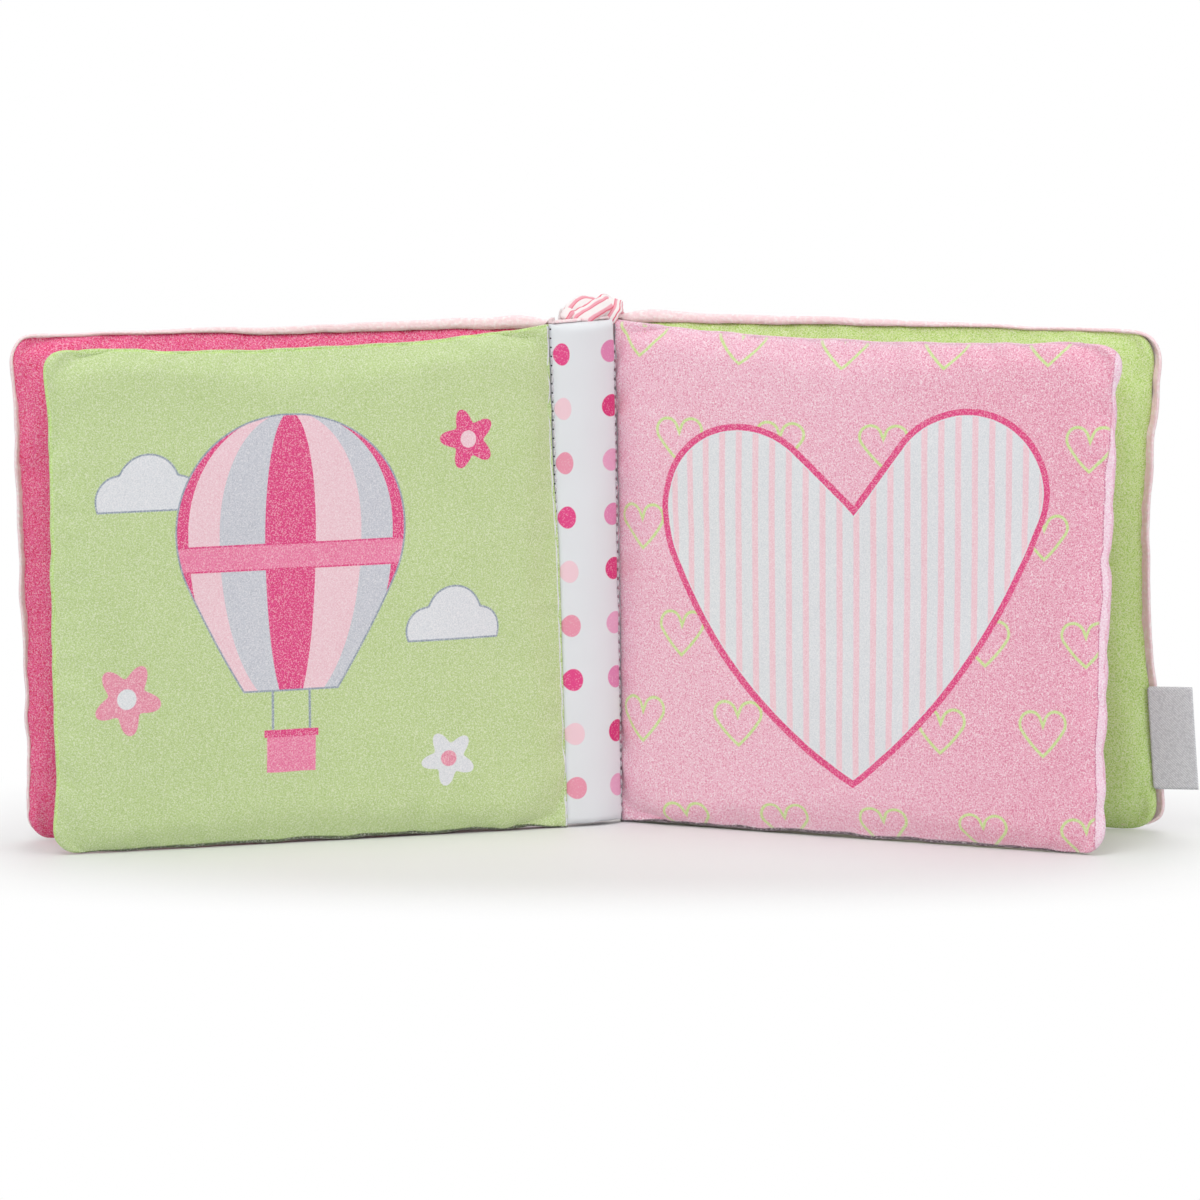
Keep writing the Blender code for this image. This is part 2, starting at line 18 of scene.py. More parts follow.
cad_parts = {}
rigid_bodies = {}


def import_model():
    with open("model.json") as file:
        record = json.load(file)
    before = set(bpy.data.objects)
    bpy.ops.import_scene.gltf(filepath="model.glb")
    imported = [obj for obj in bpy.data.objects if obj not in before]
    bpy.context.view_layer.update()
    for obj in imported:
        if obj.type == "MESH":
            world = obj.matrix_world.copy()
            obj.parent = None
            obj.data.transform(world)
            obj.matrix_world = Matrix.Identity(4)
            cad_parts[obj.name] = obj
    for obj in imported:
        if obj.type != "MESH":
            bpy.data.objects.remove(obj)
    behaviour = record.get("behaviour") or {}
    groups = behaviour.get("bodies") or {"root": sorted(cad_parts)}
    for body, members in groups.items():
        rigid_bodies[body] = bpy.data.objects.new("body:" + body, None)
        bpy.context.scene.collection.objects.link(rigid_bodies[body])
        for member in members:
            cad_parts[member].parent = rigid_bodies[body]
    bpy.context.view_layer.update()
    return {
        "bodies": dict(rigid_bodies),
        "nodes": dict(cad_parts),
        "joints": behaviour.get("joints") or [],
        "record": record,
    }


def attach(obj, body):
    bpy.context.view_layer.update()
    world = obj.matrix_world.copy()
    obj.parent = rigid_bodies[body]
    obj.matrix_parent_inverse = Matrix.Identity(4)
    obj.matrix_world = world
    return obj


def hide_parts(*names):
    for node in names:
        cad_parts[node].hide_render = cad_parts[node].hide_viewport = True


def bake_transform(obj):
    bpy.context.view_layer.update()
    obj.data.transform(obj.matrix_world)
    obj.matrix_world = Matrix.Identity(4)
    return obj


LOG = logging.getLogger("cloth_book")
MM = 0.001
PAGE_HEIGHT = 150 * MM
CORNER_RADIUS = 7.8 * MM
PLACE = "cloth_place"
RIM = "rim_share"
CORNER_ROWS = (0.0, 0.35, 1.0, 2.0, 3.6, 5.6, 7.8)
SCALLOP_PITCH = 15 * MM
LEAF_BED = 26 * MM


class Side(Enum):
    """Which half of the open book a page belongs to, as the reader sees it."""

    LEFT = -1
    RIGHT = 1


class Noise(Enum):
    """Seeds that keep each piece's unevenness its own."""

    LEFT_LEAF = 11
    RIGHT_LEAF = 23
    FRONT_COVER = 37
    BACK_COVER = 41
    SPINE = 53
    BAND = 67


def tint(red: int, green: int, blue: int) -> tuple[float, float, float, float]:
    """Turns a screen colour into the linear one that a shader takes.

    Args:
        red: Red from 0 to 255.
        green: Green from 0 to 255.
        blue: Blue from 0 to 255.

    Returns:
        The linear colour with full alpha.
    """
    shares = [channel / 255 for channel in (red, green, blue)]
    linear = [s / 12.92 if s <= 0.04045 else ((s + 0.055) / 1.055) ** 2.4 for s in shares]
    return (linear[0], linear[1], linear[2], 1.0)


def ease(share: np.ndarray) -> np.ndarray:
    """Rises smoothly from 0 to 1."""
    share = np.clip(share, 0.0, 1.0)
    return share * share * (3 - 2 * share)


def quarter(share: np.ndarray) -> np.ndarray:
    """Rises from 0 to 1 as a quarter round does."""
    share = np.clip(share, 0.0, 1.0)
    return np.sqrt(1 - (1 - share) ** 2)


def ripple(points: np.ndarray, size: float, seed: int, depth: int = 2) -> np.ndarray:
    """Smooth noise from about -1 to 1 at each point.

    Args:
        points: Rows of x, y and z.
        size: How far apart its waves lie.
        seed: Picks one piece's own waves.
        depth: How many finer layers are added.

    Returns:
        One value for each point.
    """
    shift = Vector((seed * 1.7, seed * 0.9, seed * 2.3))
    values = [noise.fractal(Vector(p) / size + shift, 0.8, 2.1, depth) for p in points]
    return np.array(values)


def new_object(name: str, points: list, faces: list) -> bpy.types.Object:
    """Makes an object of points and faces, at the origin."""
    mesh = bpy.data.meshes.new(name)
    mesh.from_pydata(points, [], faces)
    made = bpy.data.objects.new(name, mesh)
    bpy.context.collection.objects.link(made)
    return made


def keep_place(piece: bpy.types.Object, place: np.ndarray) -> None:
    """Stores with each point where it lies on the cloth laid flat."""
    kept = piece.data.attributes.new(PLACE, "FLOAT_VECTOR", "POINT")
    kept.data.foreach_set("vector", place.reshape(-1).astype(np.float32))


def add_smoothing(piece: bpy.types.Object, levels: int) -> None:
    """Adds a subdivision with the same levels in the view and in the render."""
    smooth = piece.modifiers.new("smooth", "SUBSURF")
    smooth.levels = smooth.render_levels = levels


def select_only(piece: bpy.types.Object) -> None:
    """Makes a piece the only one selected and the active one."""
    bpy.ops.object.select_all(action="DESELECT")
    piece.select_set(True)
    bpy.context.view_layer.objects.active = piece


class ClothMesh:
    """A grid of cloth while it is being made: its points, faces and woven-in attributes."""

    def __init__(self, name: str, points: np.ndarray) -> None:
        """Takes a grid of points.

        Args:
            name: The piece's name.
            points: Points as rows by columns by 3.
        """
        self.name = name
        self.points = points
        self.place = np.zeros(points.shape)
        self.rim = np.zeros(points.shape[:2])

    def faces(self, flip: bool) -> list[tuple[int, int, int, int]]:
        """The grid's quads, turned over if flip is set."""
        rows, columns = self.points.shape[:2]
        quads = []
        for j in range(rows - 1):
            for i in range(columns - 1):
                a = j * columns + i
                quad = (a, a + 1, a + columns + 1, a + columns)
                quads.append(quad[::-1] if flip else quad)
        return quads

    def build(self, flip: bool, thickness: float, levels: int) -> bpy.types.Object:
        """Makes the object, gives it its cloth thickness and smooths it.

        Args:
            flip: Turns the faces over, so that they point outwards.
            thickness: The cloth's thickness, taken inwards.
            levels: How many times it is subdivided.

        Returns:
            The finished object at the origin.
        """
        piece = new_object(self.name, self.points.reshape(-1, 3).tolist(), self.faces(flip))
        keep_place(piece, self.place)
        rim = piece.data.attributes.new(RIM, "FLOAT", "POINT")
        rim.data.foreach_set("value", self.rim.reshape(-1).astype(np.float32))
        add_smoothing(piece, levels)
        cloth = piece.modifiers.new("cloth", "SOLIDIFY")
        cloth.thickness = thickness
        cloth.offset = -1
        apply_modifiers(piece)
        piece.data.shade_smooth()
        return piece


def apply_modifiers(piece: bpy.types.Object) -> None:
    """Applies all of a piece's modifiers, in order."""
    select_only(piece)
    for modifier in list(piece.modifiers):
        bpy.ops.object.modifier_apply(modifier=modifier.name)
    piece.select_set(False)


@dataclass(frozen=True)
class Stand:
    """How a page stands: its seam, the way it points and how it twists and leans."""

    side: Side
    seam: tuple[float, float]
    forward_deg: float
    twist_deg: float
    lean: tuple[float, float]
    width: float
    pull: float = 0.0
    tuck: float = 0.0
    drop: tuple[float, float] = (0.0, 0.0)
    dip: float = 0.0

    def to_book(self, local: np.ndarray) -> np.ndarray:
        """Moves points from the page's own axes to the book's.

        Args:
            local: Points with u from the seam out, w through the page and z up, last axis 3.

        Returns:
            The points in the frame's axes.
        """
        u, w, z = local[..., 0], local[..., 1], local[..., 2]
        height = z / PAGE_HEIGHT - 0.5
        base = 0.0 if self.side is Side.RIGHT else math.pi
        turn = base - self.side.value * math.radians(self.forward_deg)
        angle = turn - self.side.value * math.radians(self.twist_deg) * height
        hold = np.clip(1 - u / self.width, 0.0, 1.0) * 2 * height
        x = self.seam[0] + u * np.cos(angle) - w * np.sin(angle) + self.lean[0] * hold
        roll = self.tuck * (1 - ease((z - 78 * MM) / (36 * MM))) * (1 - ease(u / (5 * MM)))
        x = x + self.pull * (1 - ease(u / (36 * MM))) + roll
        y = self.seam[1] + u * np.sin(angle) + w * np.cos(angle) + self.lean[1] * hold
        share = np.clip(u / self.width, 0.0, 1.0)
        bow = np.sin(math.pi * share**0.8)
        sag = (self.drop[0] * bow + self.drop[1] * share**2) * (z / PAGE_HEIGHT) ** 3
        return np.stack((x, y, z - sag - self.dip * bow * (z / PAGE_HEIGHT) ** 8), axis=-1)

    def direction(self) -> Vector:
        """Which way the page points from its seam at mid height."""
        base = 0.0 if self.side is Side.RIGHT else math.pi
        turn = base - self.side.value * math.radians(self.forward_deg)
        return Vector((math.cos(turn), math.sin(turn), 0.0))


@dataclass(frozen=True)
class Padding:
    """How thick a page is: at its rim, over its field and at its seam."""

    edge: float
    crown: float
    bead: float
    rounding: float
    flare: float
    waist: float = 1.2 * MM
    notch: float = 0.3 * MM
    seam_rise: float = 12 * MM
    crown_reach: float = 40 * MM
    corner_reach: float = 24 * MM


@dataclass(frozen=True)
class Sewing:
    """How a page is sewn and filled in the simulation."""

    pressure: float
    slack: float
    stiffness: float
    most_move: float = 2.2 * MM
    start_share: float = 0.72
    frames: int = 22
    enlarge: float = 10.0
    quality: int = 6
    mass: float = 0.3
    bending: float = 0.4


class PaddedPage:
    """A leaf or cover: two cloths sewn together round the rim and filled."""

    STEP = 3.3 * MM
    WAVE_SIZE = 42 * MM
    WAVER_SIZE = 14 * MM
    PUCKER_SIZE = 7 * MM
    LIP_FORWARD = (1.35, 2.2, 2.0, 1.1, 0.3, 0.0, 0.0)
    LIP_RISE = (-0.4, 0.3, 0.9, 1.1, 0.7, 0.2, 0.0)
    LIP_SHARE = (-0.1, 0.8, 1.0, 0.75, 0.4, 0.1, 0.0)
    TOP_SHARE = (1.0, 0.95, 0.85, 0.6, 0.3, 0.1, 0.0)
    SEAM_SINK = (1.0, 0.4, 0.0)

    def __init__(
        self, name: str, stand: Stand, padding: Padding, sewing: Sewing, seed: Noise
    ) -> None:
        """Keeps the page's sizes and lays out its grid.

        Args:
            name: The page's name, the start of its pieces' names.
            stand: Where it stands.
            padding: How thick it is.
            sewing: How it is sewn and filled.
            seed: Its own unevenness.
        """
        self.name = name
        self.stand = stand
        self.padding = padding
        self.sewing = sewing
        self.seed = seed.value
        self.z = self.rows()
        self.u = np.stack([self.columns(z) for z in self.z])
        self.grid_z = self.z[:, None] * np.ones_like(self.u)
        self.ends = np.array([self.outer_end(z) for z in self.z])[:, None]
        self.half = self.thickness()

    def outer_end(self, z: float) -> float:
        """How far out the page reaches at height z, round its corners."""
        pad = self.padding
        reach = self.stand.width + pad.flare * (z / PAGE_HEIGHT - 0.5)
        into = max(z - (PAGE_HEIGHT - CORNER_RADIUS), CORNER_RADIUS - z, 0.0)
        reach -= pad.waist * float(ease(min(z, PAGE_HEIGHT - z) / pad.corner_reach))
        return reach - CORNER_RADIUS + math.sqrt(max(CORNER_RADIUS**2 - into**2, 0.0))

    def rows(self) -> np.ndarray:
        """Heights of the grid's rows, close together at the corners."""
        near = np.array(CORNER_ROWS) * MM
        count = round((PAGE_HEIGHT - 2 * near[-1]) / self.STEP)
        field = np.linspace(near[-1], PAGE_HEIGHT - near[-1], count + 1)[1:-1]
        return np.concatenate((near, field, PAGE_HEIGHT - near[::-1]))

    def columns(self, z: float) -> np.ndarray:
        """Places of the grid's columns at height z, close together at seam and rim."""
        start, end = -self.padding.bead, self.outer_end(z)
        near = np.array([0.0, 0.5, 1.3, 2.6, 4.4]) * MM
        count = round(self.stand.width / self.STEP) - 2
        field = np.linspace(start + near[-1], end - near[-1], count + 1)[1:-1]
        return np.concatenate((start + near, field, end - near[::-1]))

    def thickness(self) -> np.ndarray:
        """Half the page's thickness over its grid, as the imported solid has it."""
        pad = self.padding
        out = self.ends - self.u
        down = np.minimum(self.grid_z, PAGE_HEIGHT - self.grid_z)
        seam = quarter((self.u + pad.bead) / pad.bead)
        sides = quarter(out / pad.rounding) * quarter(down / pad.rounding) * seam
        body = pad.bead + (pad.edge - pad.bead) * ease(self.u / pad.seam_rise)
        reach = pad.crown_reach
        crown = pad.crown * ease(self.u / reach) * ease(out / reach) * ease(down / reach)
        return body * sides + crown

    def flat_points(self, side: int, share: float) -> np.ndarray:
        """One cloth of the page lying in the page's own axes.

        Args:
            side: 1 or -1, the side of the page.
            share: How much of its full thickness it has.

        Returns:
            The grid's points.
        """
        return np.stack((self.u, side * share * self.half, self.grid_z), axis=-1)

    def filled(self) -> tuple[np.ndarray, np.ndarray]:
        """Sews the two cloths together at the rim, fills the bag and lets it settle.

        Returns:
            The points of the +w cloth and of the -w cloth.
        """
        front = self.flat_points(1, self.sewing.start_share)
        back = self.flat_points(-1, self.sewing.start_share)
        rows, columns = self.u.shape
        rim = np.zeros((rows, columns), dtype=bool)
        rim[0], rim[-1], rim[:, 0], rim[:, -1] = True, True, True, True
        ids = np.arange(rows * columns).reshape(rows, columns)
        back_ids = ids.copy()
        back_ids[~rim] = rows * columns + np.arange((~rim).sum())
        points = np.concatenate((front.reshape(-1, 3), back[~rim]))
        quads = []
        for j in range(rows - 1):
            for i in range(columns - 1):
                for grid, flip in ((ids, False), (back_ids, True)):
                    corners = (grid[j, i], grid[j, i + 1], grid[j + 1, i + 1], grid[j + 1, i])
                    quad = [int(corner) for corner in corners]
                    quads.append(quad if flip else quad[::-1])
        moved = self.simulated(points, quads, ids[rim])
        most = self.sewing.most_move
        moved = points + np.clip(moved - points, -most, most)
        return moved[ids], moved[back_ids]

    def simulated(
        self, points: np.ndarray, quads: list[list[int]], rim: np.ndarray
    ) -> np.ndarray:
        """Runs the cloth simulation on the closed bag.

        Args:
            points: The bag's points in the page's own axes.
            quads: Its faces.
            rim: The points that the rim's thread holds.

        Returns:
            The points after the bag has settled.
        """
        sewing = self.sewing
        bag = new_object(f"{self.name}_bag", (points * sewing.enlarge).tolist(), quads)
        held = bag.vertex_groups.new(name="held")
        held.add([int(i) for i in rim], 1.0, "REPLACE")
        cloth = bag.modifiers.new("filling", "CLOTH")
        settings = cloth.settings
        settings.quality = sewing.quality
        settings.mass = sewing.mass
        settings.tension_stiffness = settings.compression_stiffness = sewing.stiffness
        settings.shear_stiffness = sewing.stiffness / 2
        settings.bending_stiffness = sewing.bending
        settings.vertex_group_mass = "held"
        settings.shrink_min = -sewing.slack
        settings.use_pressure = True
        settings.uniform_pressure_force = sewing.pressure
        settings.effector_weights.gravity = 0
        cloth.collision_settings.use_collision = False
        scene = bpy.context.scene
        for frame in range(1, sewing.frames + 1):
            scene.frame_set(frame)
        depsgraph = bpy.context.evaluated_depsgraph_get()
        settled = bag.evaluated_get(depsgraph).to_mesh()
        found = np.empty(len(settled.vertices) * 3, dtype=np.float32)
        settled.vertices.foreach_get("co", found)
        bpy.data.objects.remove(bag)
        scene.frame_set(1)
        return found.reshape(-1, 3).astype(float) / sewing.enlarge

    def uneven(self, points: np.ndarray) -> np.ndarray:
        """Adds the page's slow waves and its wavering rim, and keeps its foot on the floor.

        Args:
            points: One cloth's points in the page's own axes.

        Returns:
            The points moved a little.
        """
        flat = points.reshape(-1, 3).copy()
        middle = flat * np.array((1, 0, 1))
        inward = ease((flat[:, 0] + self.padding.bead) / (14 * MM))
        ends = np.array([self.outer_end(h) for h in np.clip(flat[:, 2], 0, PAGE_HEIGHT)])
        out = ends - flat[:, 0]
        height = flat[:, 2].copy()
        near_out, near_top, near_foot = (
            1 - ease(away / (9 * MM)) for away in (out, PAGE_HEIGHT - height, height)
        )
        near_rim = np.maximum(np.maximum(near_out, near_top), near_foot)
        pucker = ripple(middle, self.PUCKER_SIZE, self.seed + 7, 1)
        flat[:, 1] += ripple(middle, self.WAVE_SIZE, self.seed) * 0.6 * MM * inward
        puffed = pucker * 0.55 * MM * near_rim * (1 - near_rim) * 3 * inward
        flat[:, 1] += np.sign(flat[:, 1]) * puffed
        waver = ripple(middle, self.WAVER_SIZE, self.seed + 3) * 0.6 + pucker * 0.35
        flat[:, 0] += near_out * waver * MM
        waver = ripple(middle, self.WAVER_SIZE, self.seed + 5) * 0.6 + pucker * 0.35
        flat[:, 2] += near_top * waver * MM * inward
        drift = ripple(middle, 50 * MM, self.seed + 11, 1) * 6 * MM
        cusp = 1 - np.abs(np.sin(math.pi * (height + drift) / SCALLOP_PITCH))
        flat[:, 0] -= near_out**2 * cusp**3 * self.padding.notch
        lift = 0.75 + ripple(middle, 11 * MM, self.seed + 9) * 0.9 + pucker * 0.5
        held = 1 - 0.6 * np.clip(flat[:, 0] / self.stand.width, 0, 1)
        flat[:, 2] += near_foot**2 * (np.maximum(lift, 0.0) * MM) * inward * held
        flat[:, 2] = np.maximum(flat[:, 2], 0.0)
        return flat.reshape(points.shape)

    def rim_share(self) -> np.ndarray:
        """1 on the rolled rim and 0 from a few millimetres in."""
        down = np.minimum(self.grid_z, PAGE_HEIGHT - self.grid_z)
        return 1 - ease(np.minimum(self.ends - self.u, down) / (2.4 * MM))

    def cloth(
        self, name: str, points: np.ndarray, side: int, finish: "ClothFinish"
    ) -> bpy.types.Object:
        """Makes one cloth of the page from its settled points.

        Args:
            name: The piece's name.
            points: Its points in the page's own axes.
            side: 1 or -1, the side of the page.
            finish: How the cloth is finished.

        Returns:
            The piece.
        """
        if finish.pile:
            settled = ease((PAGE_HEIGHT - self.z) / (6 * MM))[:, None, None]
            points = points * settled + self.flat_points(side, 1.0) * (1 - settled)
        local = self.uneven(points)
        if finish.pile:
            local = self.raised_pile(local, side, finish)
        near_top = 1 - ease((PAGE_HEIGHT - self.z) / (6 * MM))[:, None]
        local[..., 2] -= finish.seam_dip * near_top * (1 - ease(self.u / LEAF_BED))
        made = ClothMesh(name, self.stand.to_book(local))
        reader_x = self.stand.side.value * self.u
        made.place = np.stack((reader_x, self.grid_z, np.zeros_like(self.u)), axis=-1)
        made.rim = self.rim_share()
        return made.build(side > 0, finish.thickness, finish.levels)

    def raised_pile(self, points: np.ndarray, side: int, finish: "ClothFinish") -> np.ndarray:
        """Lifts a plush cloth by its pile and lets it stand past the rim.

        Args:
            points: The cloth's points in the page's own axes.
            side: The side of the page that it is on.
            finish: How the cloth is finished.

        Returns:
            The lifted points.
        """
        rim = self.rim_share()
        lifted = points.copy()
        lifted[..., 1] += side * finish.pile * 0.5 * (1 - rim)
        above_label = ease((points[..., 2] - 48 * MM) / (14 * MM))
        out = 1 - ease((self.ends - self.u) / (5 * MM))
        foot = 1 - ease(points[..., 2] / (5 * MM))
        at_seam, at_rim = finish.past_top
        past_top = at_seam + (at_rim - at_seam) * self.u / self.stand.width
        past_top = past_top * (0.6 + 0.4 * ease(self.u / (9 * MM)))
        lifted[..., 0] += finish.past_rim * out
        down = (PAGE_HEIGHT - self.z)[:, None] / MM
        lip = ease((self.ends[-1] - self.u) / (10 * MM))
        lip = lip * ease((self.u + self.padding.bead) / (4 * MM))
        lip = lip * np.clip(past_top / (1.8 * MM), 0.0, 1.0)
        forward = np.interp(down, CORNER_ROWS, self.LIP_FORWARD) * MM * lip
        rise = np.interp(down, CORNER_ROWS, self.LIP_RISE) * MM * lip
        share = np.interp(down, CORNER_ROWS, self.LIP_SHARE) * lip
        share += np.interp(down, CORNER_ROWS, self.TOP_SHARE) * (1 - lip)
        sink = np.interp(down, CORNER_ROWS[: len(self.SEAM_SINK)], self.SEAM_SINK)
        rise -= sink * MM * lip * (1 - ease(self.u / LEAF_BED))
        lifted[..., 1] -= side * (finish.pile * rim * 0.8 * above_label * (1 - lip) + forward)
        lifted[..., 2] += past_top * share + rise + 0.9 * MM * foot
        return lifted


@dataclass(frozen=True)
class ClothFinish:
    """How a cloth is built: its thickness, its smoothing and its pile, if it has one."""

    thickness: float
    levels: int
    pile: float = 0.0
    past_rim: float = 0.0
    past_top: tuple[float, float] = (0.0, 0.0)
    seam_dip: float = 0.0


class Nodes:
    """Short calls for the nodes of one material or group."""

    def __init__(self, tree: bpy.types.NodeTree) -> None:
        """Keeps the tree that the nodes go into."""
        self.tree = tree

    def add(self, kind: str, **settings: object) -> bpy.types.Node:
        """Adds a node of a kind, with its settings."""
        node = self.tree.nodes.new(f"ShaderNode{kind}")
        for name, value in settings.items():
            setattr(node, name, value)
        return node

    def feed(self, socket: bpy.types.NodeSocket, value: object) -> None:
        """Links a socket to another, or sets its value."""
        if isinstance(value, bpy.types.NodeSocket):
            self.tree.links.new(value, socket)
        else:
            socket.default_value = value

    def math(self, operation: str, *values: object) -> bpy.types.NodeSocket:
        """One step of arithmetic on its values."""
        node = self.add("Math", operation=operation)
        for socket, value in zip(node.inputs, values):
            self.feed(socket, value)
        return node.outputs[0]

    def vector(self, operation: str, *values: object) -> bpy.types.Node:
        """One step of vector arithmetic, as its node."""
        node = self.add("VectorMath", operation=operation)
        for socket, value in zip(node.inputs, values):
            self.feed(socket, value)
        return node

    def measure(self, operation: str, *values: object) -> bpy.types.NodeSocket:
        """A length, a distance or a product of vectors."""
        return self.vector(operation, *values).outputs["Value"]

    def split(self, value: bpy.types.NodeSocket) -> tuple[bpy.types.NodeSocket, ...]:
        """A vector's x, y and z."""
        node = self.add("SeparateXYZ")
        self.feed(node.inputs[0], value)
        return tuple(node.outputs)

    def join(self, x: object, y: object, z: object = 0.0) -> bpy.types.NodeSocket:
        """A vector from x, y and z."""
        node = self.add("CombineXYZ")
        for socket, value in zip(node.inputs, (x, y, z)):
            self.feed(socket, value)
        return node.outputs[0]

    def between(self, value: object, low: float, high: float) -> bpy.types.NodeSocket:
        """0 up to low, 1 from high on and smooth between them; low may be the greater."""
        node = self.add("MapRange", interpolation_type="SMOOTHSTEP")
        self.feed(node.inputs["Value"], value)
        node.inputs["From Min"].default_value = low
        node.inputs["From Max"].default_value = high
        return node.outputs["Result"]

    def mix(self, share: object, first: object, second: object) -> bpy.types.NodeSocket:
        """A colour between two."""
        node = self.add("Mix", data_type="RGBA")
        for socket, value in zip((0, 6, 7), (share, first, second)):
            self.feed(node.inputs[socket], value)
        return node.outputs[2]

    def noise(
        self, place: bpy.types.NodeSocket, size: float, detail: float = 2.0
    ) -> bpy.types.NodeSocket:
        """Noise whose waves lie about size apart."""
        node = self.add("TexNoise")
        self.feed(node.inputs["Vector"], place)
        node.inputs["Scale"].default_value = 1 / size
        node.inputs["Detail"].default_value = detail
        return node.outputs["Fac"]

    def attribute(self, name: str) -> bpy.types.Node:
        """Reads a woven-in attribute of the piece."""
        return self.add("Attribute", attribute_name=name, attribute_type="GEOMETRY")

    def group(self, tree: bpy.types.NodeTree, **values: object) -> bpy.types.Node:
        """Places a node group, its inputs named with _ for a space."""
        node = self.add("Group")
        node.node_tree = tree
        for name, value in values.items():
            self.feed(node.inputs[name.replace("_", " ")], value)
        return node


def new_group(
    name: str, inputs: dict[str, str], outputs: dict[str, str]
) -> tuple[Nodes, dict, bpy.types.Node]:
    """Starts a node group.

    Args:
        name: The group's name.
        inputs: Socket names and their kinds, Float, Vector or Color.
        outputs: The same for what it puts out.

    Returns:
        Its nodes, its inputs by name and its output node.
    """
    tree = bpy.data.node_groups.new(name, "ShaderNodeTree")
    for sockets, way in ((inputs, "INPUT"), (outputs, "OUTPUT")):
        for label, kind in sockets.items():
            tree.interface.new_socket(name=label, in_out=way, socket_type=f"NodeSocket{kind}")
    source = tree.nodes.new("NodeGroupInput")
    drain = tree.nodes.new("NodeGroupOutput")
    return Nodes(tree), {label: source.outputs[label] for label in inputs}, drain


class Effects:
    """The node groups that more than one finish uses."""

    def __init__(self) -> None:
        """Builds each group once."""
        self.grain = self.build_grain()
        self.lobes = self.build_lobes()
        self.blossom = self.build_blossom()
        self.weave = self.build_weave()

    def build_grain(self) -> bpy.types.NodeTree:
        """Brushed cloth: light and dark fibre flecks over a colour, and their height."""
        nodes, given, drain = new_group(
            "brushed_grain",
            {"Place": "Vector", "Color": "Color", "Light": "Float", "Dark": "Float"},
            {"Color": "Color", "Height": "Float"},
        )
        place = given["Place"]
        fibre = nodes.noise(place, 0.40 * MM, 1.0)
        shifted = nodes.vector("ADD", place, (0.31, 0.17, 0.53)).outputs[0]
        dark_fibre = nodes.noise(shifted, 0.42 * MM, 1.0)
        patch = nodes.noise(shifted, 22 * MM, 2.0)
        light = nodes.math("MULTIPLY", nodes.between(fibre, 0.48, 0.64), given["Light"])
        dark = nodes.math("MULTIPLY", nodes.between(dark_fibre, 0.50, 0.66), given["Dark"])
        worn = nodes.math("MULTIPLY", nodes.between(patch, 0.35, 0.75), 0.10)
        squared = nodes.vector("MULTIPLY", given["Color"], given["Color"]).outputs[0]
        deep = nodes.mix(0.75, given["Color"], squared)
        colour = nodes.mix(worn, given["Color"], deep)
        colour = nodes.mix(light, colour, tint(255, 250, 250))
        colour = nodes.mix(dark, colour, deep)
        nodes.feed(drain.inputs["Color"], colour)
        nodes.feed(drain.inputs["Height"], nodes.math("SUBTRACT", fibre, dark))
        return nodes.tree

    def build_lobes(self) -> bpy.types.NodeTree:
        """The distance to a heart's or a drop's outline: two round lobes over two flanks."""
        nodes, given, drain = new_group(
            "lobed_outline",
            {"X": "Float", "Y": "Float", "Lobe": "Vector", "Radius": "Float",
             "Arc": "Vector", "Reach": "Float", "Shoulder": "Vector", "Chord": "Vector"},
            {"Distance": "Float"},
        )
        across = nodes.math("ABSOLUTE", given["X"])
        point = nodes.join(across, given["Y"], 1.0)
        flat = nodes.join(across, given["Y"], 0.0)
        lobe, body = (
            nodes.math("SUBTRACT", nodes.measure("DISTANCE", flat, given[middle]), given[radius])
            for middle, radius in (("Lobe", "Radius"), ("Arc", "Reach"))
        )
        for name in ("Shoulder", "Chord"):
            body = nodes.math("MAXIMUM", body, nodes.measure("DOT_PRODUCT", point, given[name]))
        nodes.feed(drain.inputs["Distance"], nodes.math("MINIMUM", lobe, body))
        return nodes.tree

    def build_blossom(self) -> bpy.types.NodeTree:
        """The distance to a petalled rosette's outline, round its middle."""
        nodes, given, drain = new_group(
            "rosette_outline",
            {"X": "Float", "Y": "Float", "Radius": "Float", "Petals": "Float", "Depth": "Float"},
            {"Distance": "Float"},
        )
        turn = nodes.math("ARCTAN2", given["Y"], given["X"])
        wave = nodes.math("COSINE", nodes.math("MULTIPLY", turn, given["Petals"]))
        deep = nodes.math("MULTIPLY", wave, given["Depth"])
        swing = nodes.math("MULTIPLY", deep, given["Radius"])
        reach = nodes.math("ADD", swing, given["Radius"])
        away = nodes.measure("LENGTH", nodes.join(given["X"], given["Y"]))
        nodes.feed(drain.inputs["Distance"], nodes.math("SUBTRACT", away, reach))
        return nodes.tree

    def build_weave(self) -> bpy.types.NodeTree:
        """Crossing threads, as their height from 0 to 1, along two directions of a place."""
        nodes, given, drain = new_group(
            "crossing_threads",
            {"Place": "Vector", "Pitch": "Float", "Twill": "Float"},
            {"Height": "Float"},
        )
        x, y, _ = nodes.split(given["Place"])
        rate = nodes.math("DIVIDE", math.tau, given["Pitch"])
        along = nodes.math("SINE", nodes.math("MULTIPLY", x, rate))
        lean = nodes.math("ADD", y, nodes.math("MULTIPLY", x, given["Twill"]))
        over = nodes.math("SINE", nodes.math("MULTIPLY", lean, rate))
        both = nodes.math("MULTIPLY", along, over)
        nodes.feed(drain.inputs["Height"], nodes.math("MULTIPLY_ADD", both, 0.5, 0.5))
        return nodes.tree


